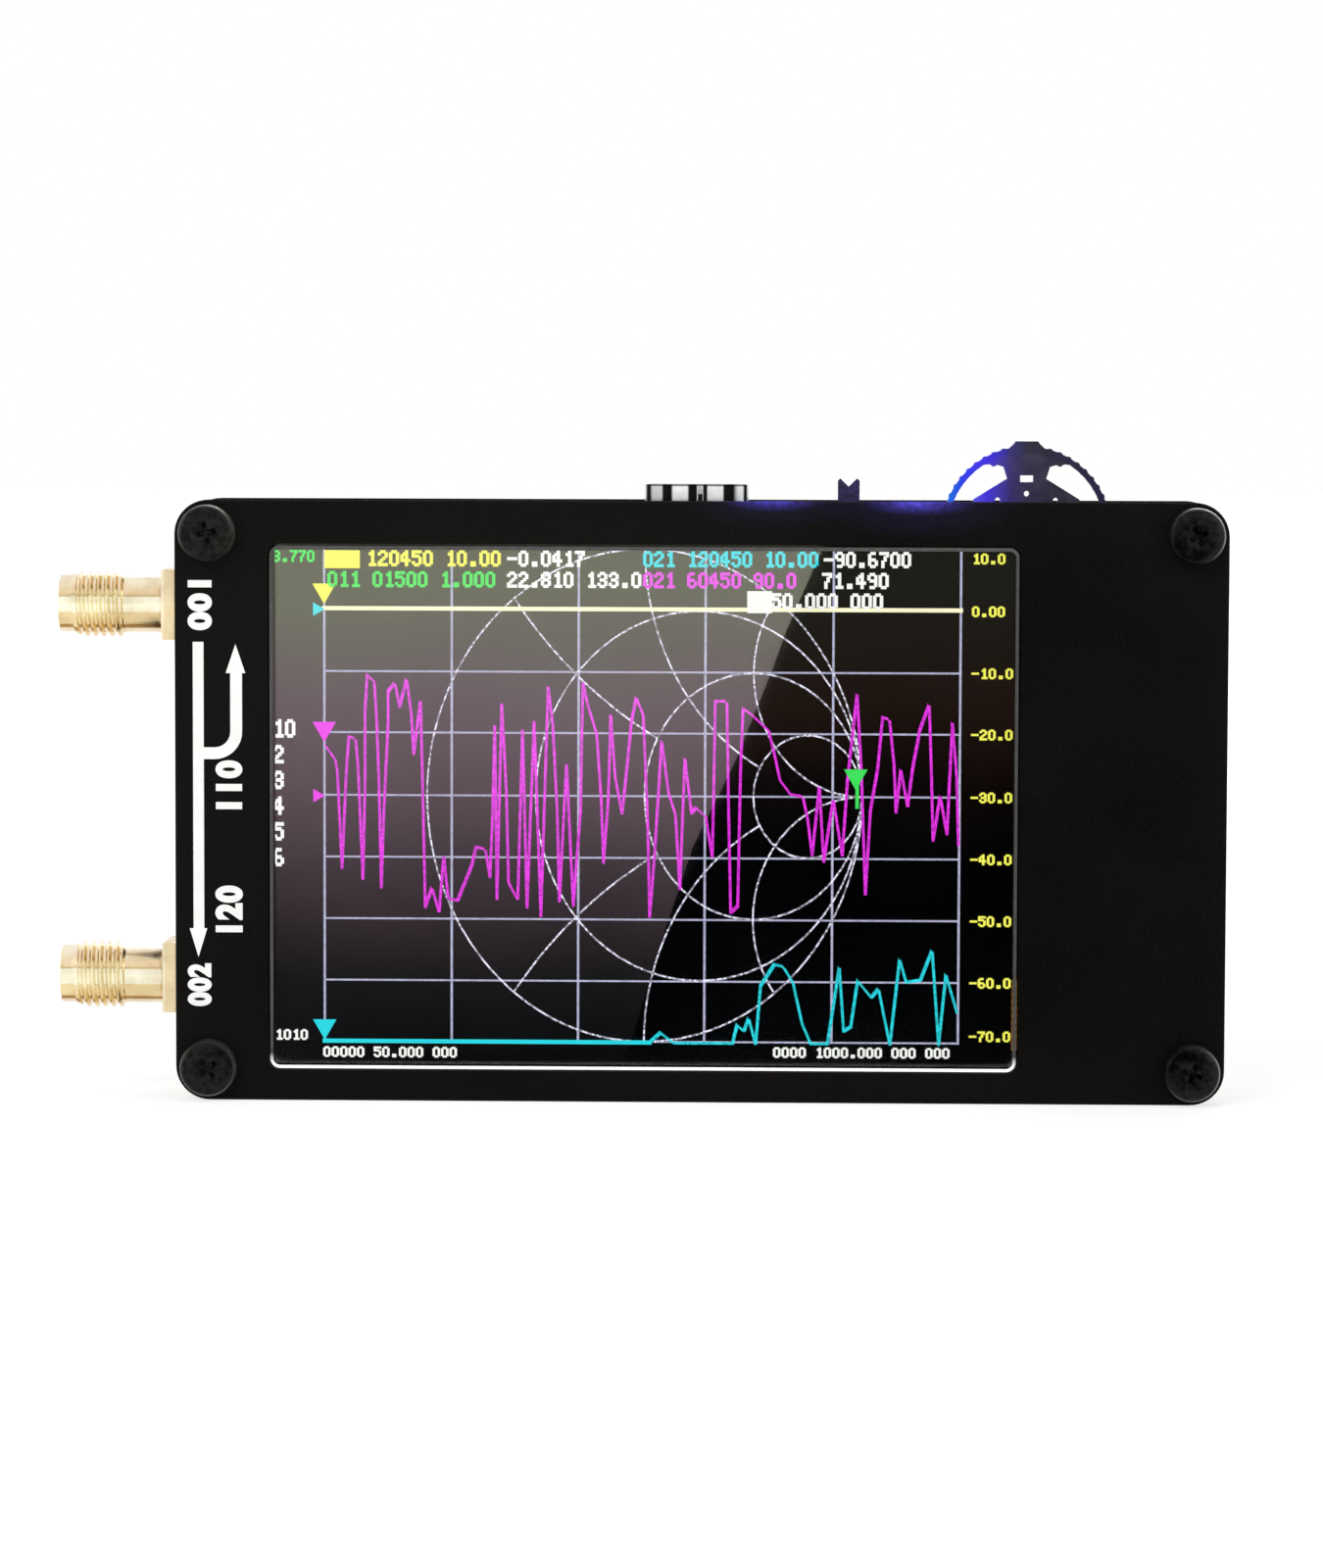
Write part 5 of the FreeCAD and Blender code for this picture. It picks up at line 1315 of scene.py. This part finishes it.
class ANALYZER_OT_boards(AnalyzerStep):
    """Finish the boards, chips, cans, pins, spacers and standoffs"""

    bl_idname = "analyzer.boards"
    bl_label = "Boards and parts"

    def execute(self, context):
        colours = self.colours
        dress(panel_finish("board_mask", False), "main_board", "battery_board")
        self.plain(
            "rf_shield_frame rf_shield_lid power_switch_case jog_cover jog_spring",
            "pressed_steel", colours.steel, (0.24, 0.4), patch=3.0, grain=0.1, bump=0.002,
            vary=0.15, metallic=1.0, stretch=(1.0, 1.0, 0.2),
        )
        self.plain(
            "power_switch_pins jog_pins clock_crystal controller_pins controller_crystal",
            "tinned_copper", colours.tin, (0.2, 0.36), patch=0.8, grain=0.08, bump=0.002,
            vary=0.12, metallic=1.0,
        )
        self.plain(
            "mixer_chips codec_chip clock_chip resistors controller_chip charger_chip"
            " regulator_chip",
            "chip_body", colours.chip, (0.5, 0.68), patch=1.2, grain=0.06,
        )
        self.plain(
            "ceramic_capacitors", "ceramic", colours.ceramic, (0.35, 0.5), patch=0.6, grain=0.06,
            bump=0.002,
        )
        self.plain(
            "charger_coil", "ferrite", tone("26262a"), (0.55, 0.75), patch=0.8, grain=0.08,
            bump=0.01,
        )
        self.plain("front_spacers", "nylon", colours.nylon, (0.42, 0.6), patch=1.5, grain=0.15)
        self.plain(
            "rear_standoffs", "plated_brass", colours.brass, (0.2, 0.34), patch=1.5, grain=0.08,
            bump=0.002, vary=0.12, metallic=1.0, stretch=(1.0, 0.2, 1.0),
        )
        return {"FINISHED"}


class ANALYZER_OT_battery(AnalyzerStep):
    """Finish the battery cell, its leads and its connector"""

    bl_idname = "analyzer.battery"
    bl_label = "Battery"

    def execute(self, context):
        colours = self.colours
        self.plain(
            "battery_cell", "cell_foil", colours.foil, (0.28, 0.46), patch=5.0, grain=1.2,
            bump=0.03, vary=0.15, metallic=0.7,
        )
        leads = {"rough": (0.45, 0.6), "patch": 1.0, "bump": 0.003}
        self.plain("battery_lead_red", "red_silicone", colours.red, **leads)
        self.plain("battery_lead_black", "black_silicone", colours.tape, **leads)
        self.plain(
            "battery_socket battery_plug", "cream_nylon", colours.cream, (0.35, 0.5), patch=1.5,
            vary=0.08,
        )
        return {"FINISHED"}


class ANALYZER_OT_studio(AnalyzerStep):
    """Set up the pale floor, soft lamps, mirrored cards and camera"""

    bl_idname = "analyzer.studio"
    bl_label = "Studio"

    def shown(self, tree):
        """1 for what the camera, gloss and glass see of the studio, else 0."""
        rays = add_node(tree, "LightPath").outputs
        pair = calculate(tree, "MAXIMUM", rays["Is Camera Ray"], rays["Is Glossy Ray"])
        return calculate(tree, "MAXIMUM", pair, rays["Is Transmission Ray"])

    def room(self, light):
        world = bpy.data.worlds.new("pale_room")
        bpy.context.scene.world = world
        world.use_nodes = True
        tree = world.node_tree
        tree.nodes.clear()
        white = add_node(tree, "Background", {"Color": (1, 1, 1, 1), "Strength": 1.0})
        dim = add_node(tree, "Background", {"Color": (1, 1, 1, 1), "Strength": light.room})
        both = add_node(
            tree, "MixShader", {0: self.shown(tree), 1: dim.outputs[0], 2: white.outputs[0]}
        )
        add_node(tree, "OutputWorld", {"Surface": both.outputs[0]})

    def floor(self, light):
        let_go()
        bpy.ops.mesh.primitive_plane_add(size=8.0, location=(0, 0, -0.02 * MM))
        floor = active()
        floor.name = "floor"
        material = bpy.data.materials.new("pale_floor")
        material.use_nodes = True
        tree = material.node_tree
        tree.nodes.remove(tree.nodes["Principled BSDF"])
        matt = add_node(tree, "BsdfDiffuse", {"Color": (*light.floor, 1.0)})
        paler = add_node(tree, "BsdfDiffuse", {"Color": (0.34, 0.34, 0.34, 1.0)})
        where = add_node(tree, "TexCoord").outputs["Object"]
        near = around(tree, where, (0, 0, 0), (0.4, 0.4, 0))
        lift = spread(tree, near, 0.0, 0.7, 1.0, 0.74)
        glow = add_node(tree, "Emission", {"Color": (1, 1, 1, 1), "Strength": lift})
        bright = add_node(tree, "AddShader", {0: paler.outputs[0], 1: glow.outputs[0]})
        both = add_node(
            tree, "MixShader", {0: self.shown(tree), 1: matt.outputs[0], 2: bright.outputs[0]}
        )
        tree.links.new(both.outputs[0], tree.nodes["Material Output"].inputs["Surface"])
        material.cycles.emission_sampling = "NONE"
        floor.data.materials.append(material)

    def lamp(self, name, place_at, size, level, mirrored=True):
        """A soft square lamp that gives this share of full light at the analyzer."""
        aim = Vector((0, 0, 25 * MM))
        away = Vector(place_at) - aim
        let_go()
        bpy.ops.object.light_add(
            type="AREA", location=place_at, rotation=away.to_track_quat("Z", "Y").to_euler()
        )
        lamp = active()
        lamp.name = name
        lamp.data.shape = "SQUARE"
        lamp.data.size = size
        lamp.data.energy = level * math.pi**2 * away.length_squared
        lamp.visible_glossy = mirrored

    def card(self, name, outline, depth, material):
        """A card in front of the analyzer that only gloss and glass mirror; outline in mm."""
        card = draw_face([(x * MM, depth * MM, z * MM) for x, z in outline])
        place(card, Matrix.Identity(4))
        card.name = name
        card.data.materials.append(material)
        card.visible_camera = card.visible_diffuse = card.visible_shadow = False
        card.visible_volume_scatter = False

    def card_light(self, name, stops, strength):
        """Uneven light that follows these stops of height, in mm, and colour."""
        material, tree, shader, where, coordinates = start_finish(name, Specular_IOR_Level=0.0)
        height = axis(tree, coordinates.outputs["Object"], "Z")
        cloudy = spread(tree, noise(tree, where, 16 * MM, 3.0), 0.3, 0.7, -1.2 * MM, 1.2 * MM)
        waved = calculate(tree, "ADD", height, cloudy)
        light = ramp(
            tree, spread(tree, waved, 0.0, 50 * MM), [(level / 50, code) for level, code in stops]
        )
        shader.inputs["Base Color"].default_value = (0, 0, 0, 1)
        tree.links.new(light, shader.inputs["Emission Color"])
        shader.inputs["Emission Strength"].default_value = strength
        material.cycles.emission_sampling = "NONE"
        return material

    def camera(self):
        let_go()
        bpy.ops.object.camera_add(location=CAMERA_PLACE)
        camera = active()
        camera.name = "view_camera"
        rise, side, roll = (math.radians(a) for a in CAMERA_ANGLES)
        back = Vector((
            math.sin(side) * math.cos(rise), -math.cos(side) * math.cos(rise), math.sin(rise),
        ))
        right = (-back).cross(Vector((0, 0, 1))).normalized()
        up = right.cross(-back)
        across = math.cos(roll) * right + math.sin(roll) * up
        upward = math.cos(roll) * up - math.sin(roll) * right
        turned = Matrix((across, upward, back)).transposed()
        camera.rotation_euler = turned.to_euler()
        camera.data.sensor_width = 36.0
        camera.data.lens = 116.73
        camera.data.clip_start = 0.01
        bpy.context.scene.camera = camera

    def execute(self, context):
        light = context.scene.analyzer_studio
        context.scene.view_settings.view_transform = "Standard"
        self.room(light)
        self.floor(light)
        self.lamp("key_lamp", (-0.45, -0.75, 0.8), 0.6, light.key, False)
        self.lamp("right_lamp", (0.9, -0.45, 0.45), 0.6, light.fill)
        self.lamp("left_lamp", (-0.95, 0.05, 0.35), 0.6, light.fill)
        self.lamp("top_lamp", (0.1, 0.1, 1.1), 0.8, light.top, False)
        self.lamp("back_lamp", (0.25, 1.0, 0.55), 0.7, light.back)
        dark = self.card_light("dark_card_face", (
            (0.0, "010101"), (20.0, "020204"), (26.0, "2c1a16"), (33.0, "5f4436"), (43.0, "625f52"),
        ), 1.0)
        self.card("dark_card", [(-34, 0.3), (52, 0.3), (52, 50.5), (-34, 50.5)], -20.5, dark)
        grey = self.card_light("grey_card_face", (
            (0.5, "141414"), (8.7, "3a3a3c"), (12.1, "5e5055"), (19.0, "94808a"),
            (25.9, "cdb0bb"), (33.0, "ebd0db"), (43.0, "f8f8db"),
        ), light.mirrored)
        outline = [
            (-34, 0.35), (-1.9, 0.35), (1.9, 13.0), (4.4, 20.6), (8.1, 28.2), (11.2, 36.0),
            (12.5, 39.6), (15.5, 46.5), (15.6, 47.2), (-34, 47.2),
        ]
        self.card("grey_card", outline, -20, grey)
        self.camera()
        return {"FINISHED"}


STEPS = (
    ANALYZER_OT_panels, ANALYZER_OT_panel_print, ANALYZER_OT_screws, ANALYZER_OT_ports,
    ANALYZER_OT_screen, ANALYZER_OT_picture, ANALYZER_OT_top_edge, ANALYZER_OT_jog_wheel,
    ANALYZER_OT_boards, ANALYZER_OT_battery, ANALYZER_OT_studio,
)


class ANALYZER_PT_looks(bpy.types.Panel):
    """Steps that dress the antenna analyzer, and their settings"""

    bl_label = "Antenna analyzer"
    bl_space_type = "VIEW_3D"
    bl_region_type = "UI"
    bl_category = "Analyzer"

    def draw(self, context):
        for step in STEPS:
            self.layout.operator(step.bl_idname)
        for group in ("analyzer_sizes", "analyzer_colours", "analyzer_studio"):
            settings = getattr(context.scene, group)
            box = self.layout.box()
            for name in settings.__annotations__:
                box.prop(settings, name)


CLASSES = (AnalyzerSizes, AnalyzerColours, AnalyzerStudio, *STEPS, ANALYZER_PT_looks)


def register():
    for made in CLASSES:
        bpy.utils.register_class(made)
    bpy.types.Scene.analyzer_sizes = bpy.props.PointerProperty(type=AnalyzerSizes)
    bpy.types.Scene.analyzer_colours = bpy.props.PointerProperty(type=AnalyzerColours)
    bpy.types.Scene.analyzer_studio = bpy.props.PointerProperty(type=AnalyzerStudio)


def unregister():
    del bpy.types.Scene.analyzer_sizes
    del bpy.types.Scene.analyzer_colours
    del bpy.types.Scene.analyzer_studio
    for made in reversed(CLASSES):
        bpy.utils.unregister_class(made)


def main():
    register()
    for step in STEPS:
        group, name = step.bl_idname.split(".")
        getattr(getattr(bpy.ops, group), name)()
    let_go()


if __name__ == "__main__":
    main()
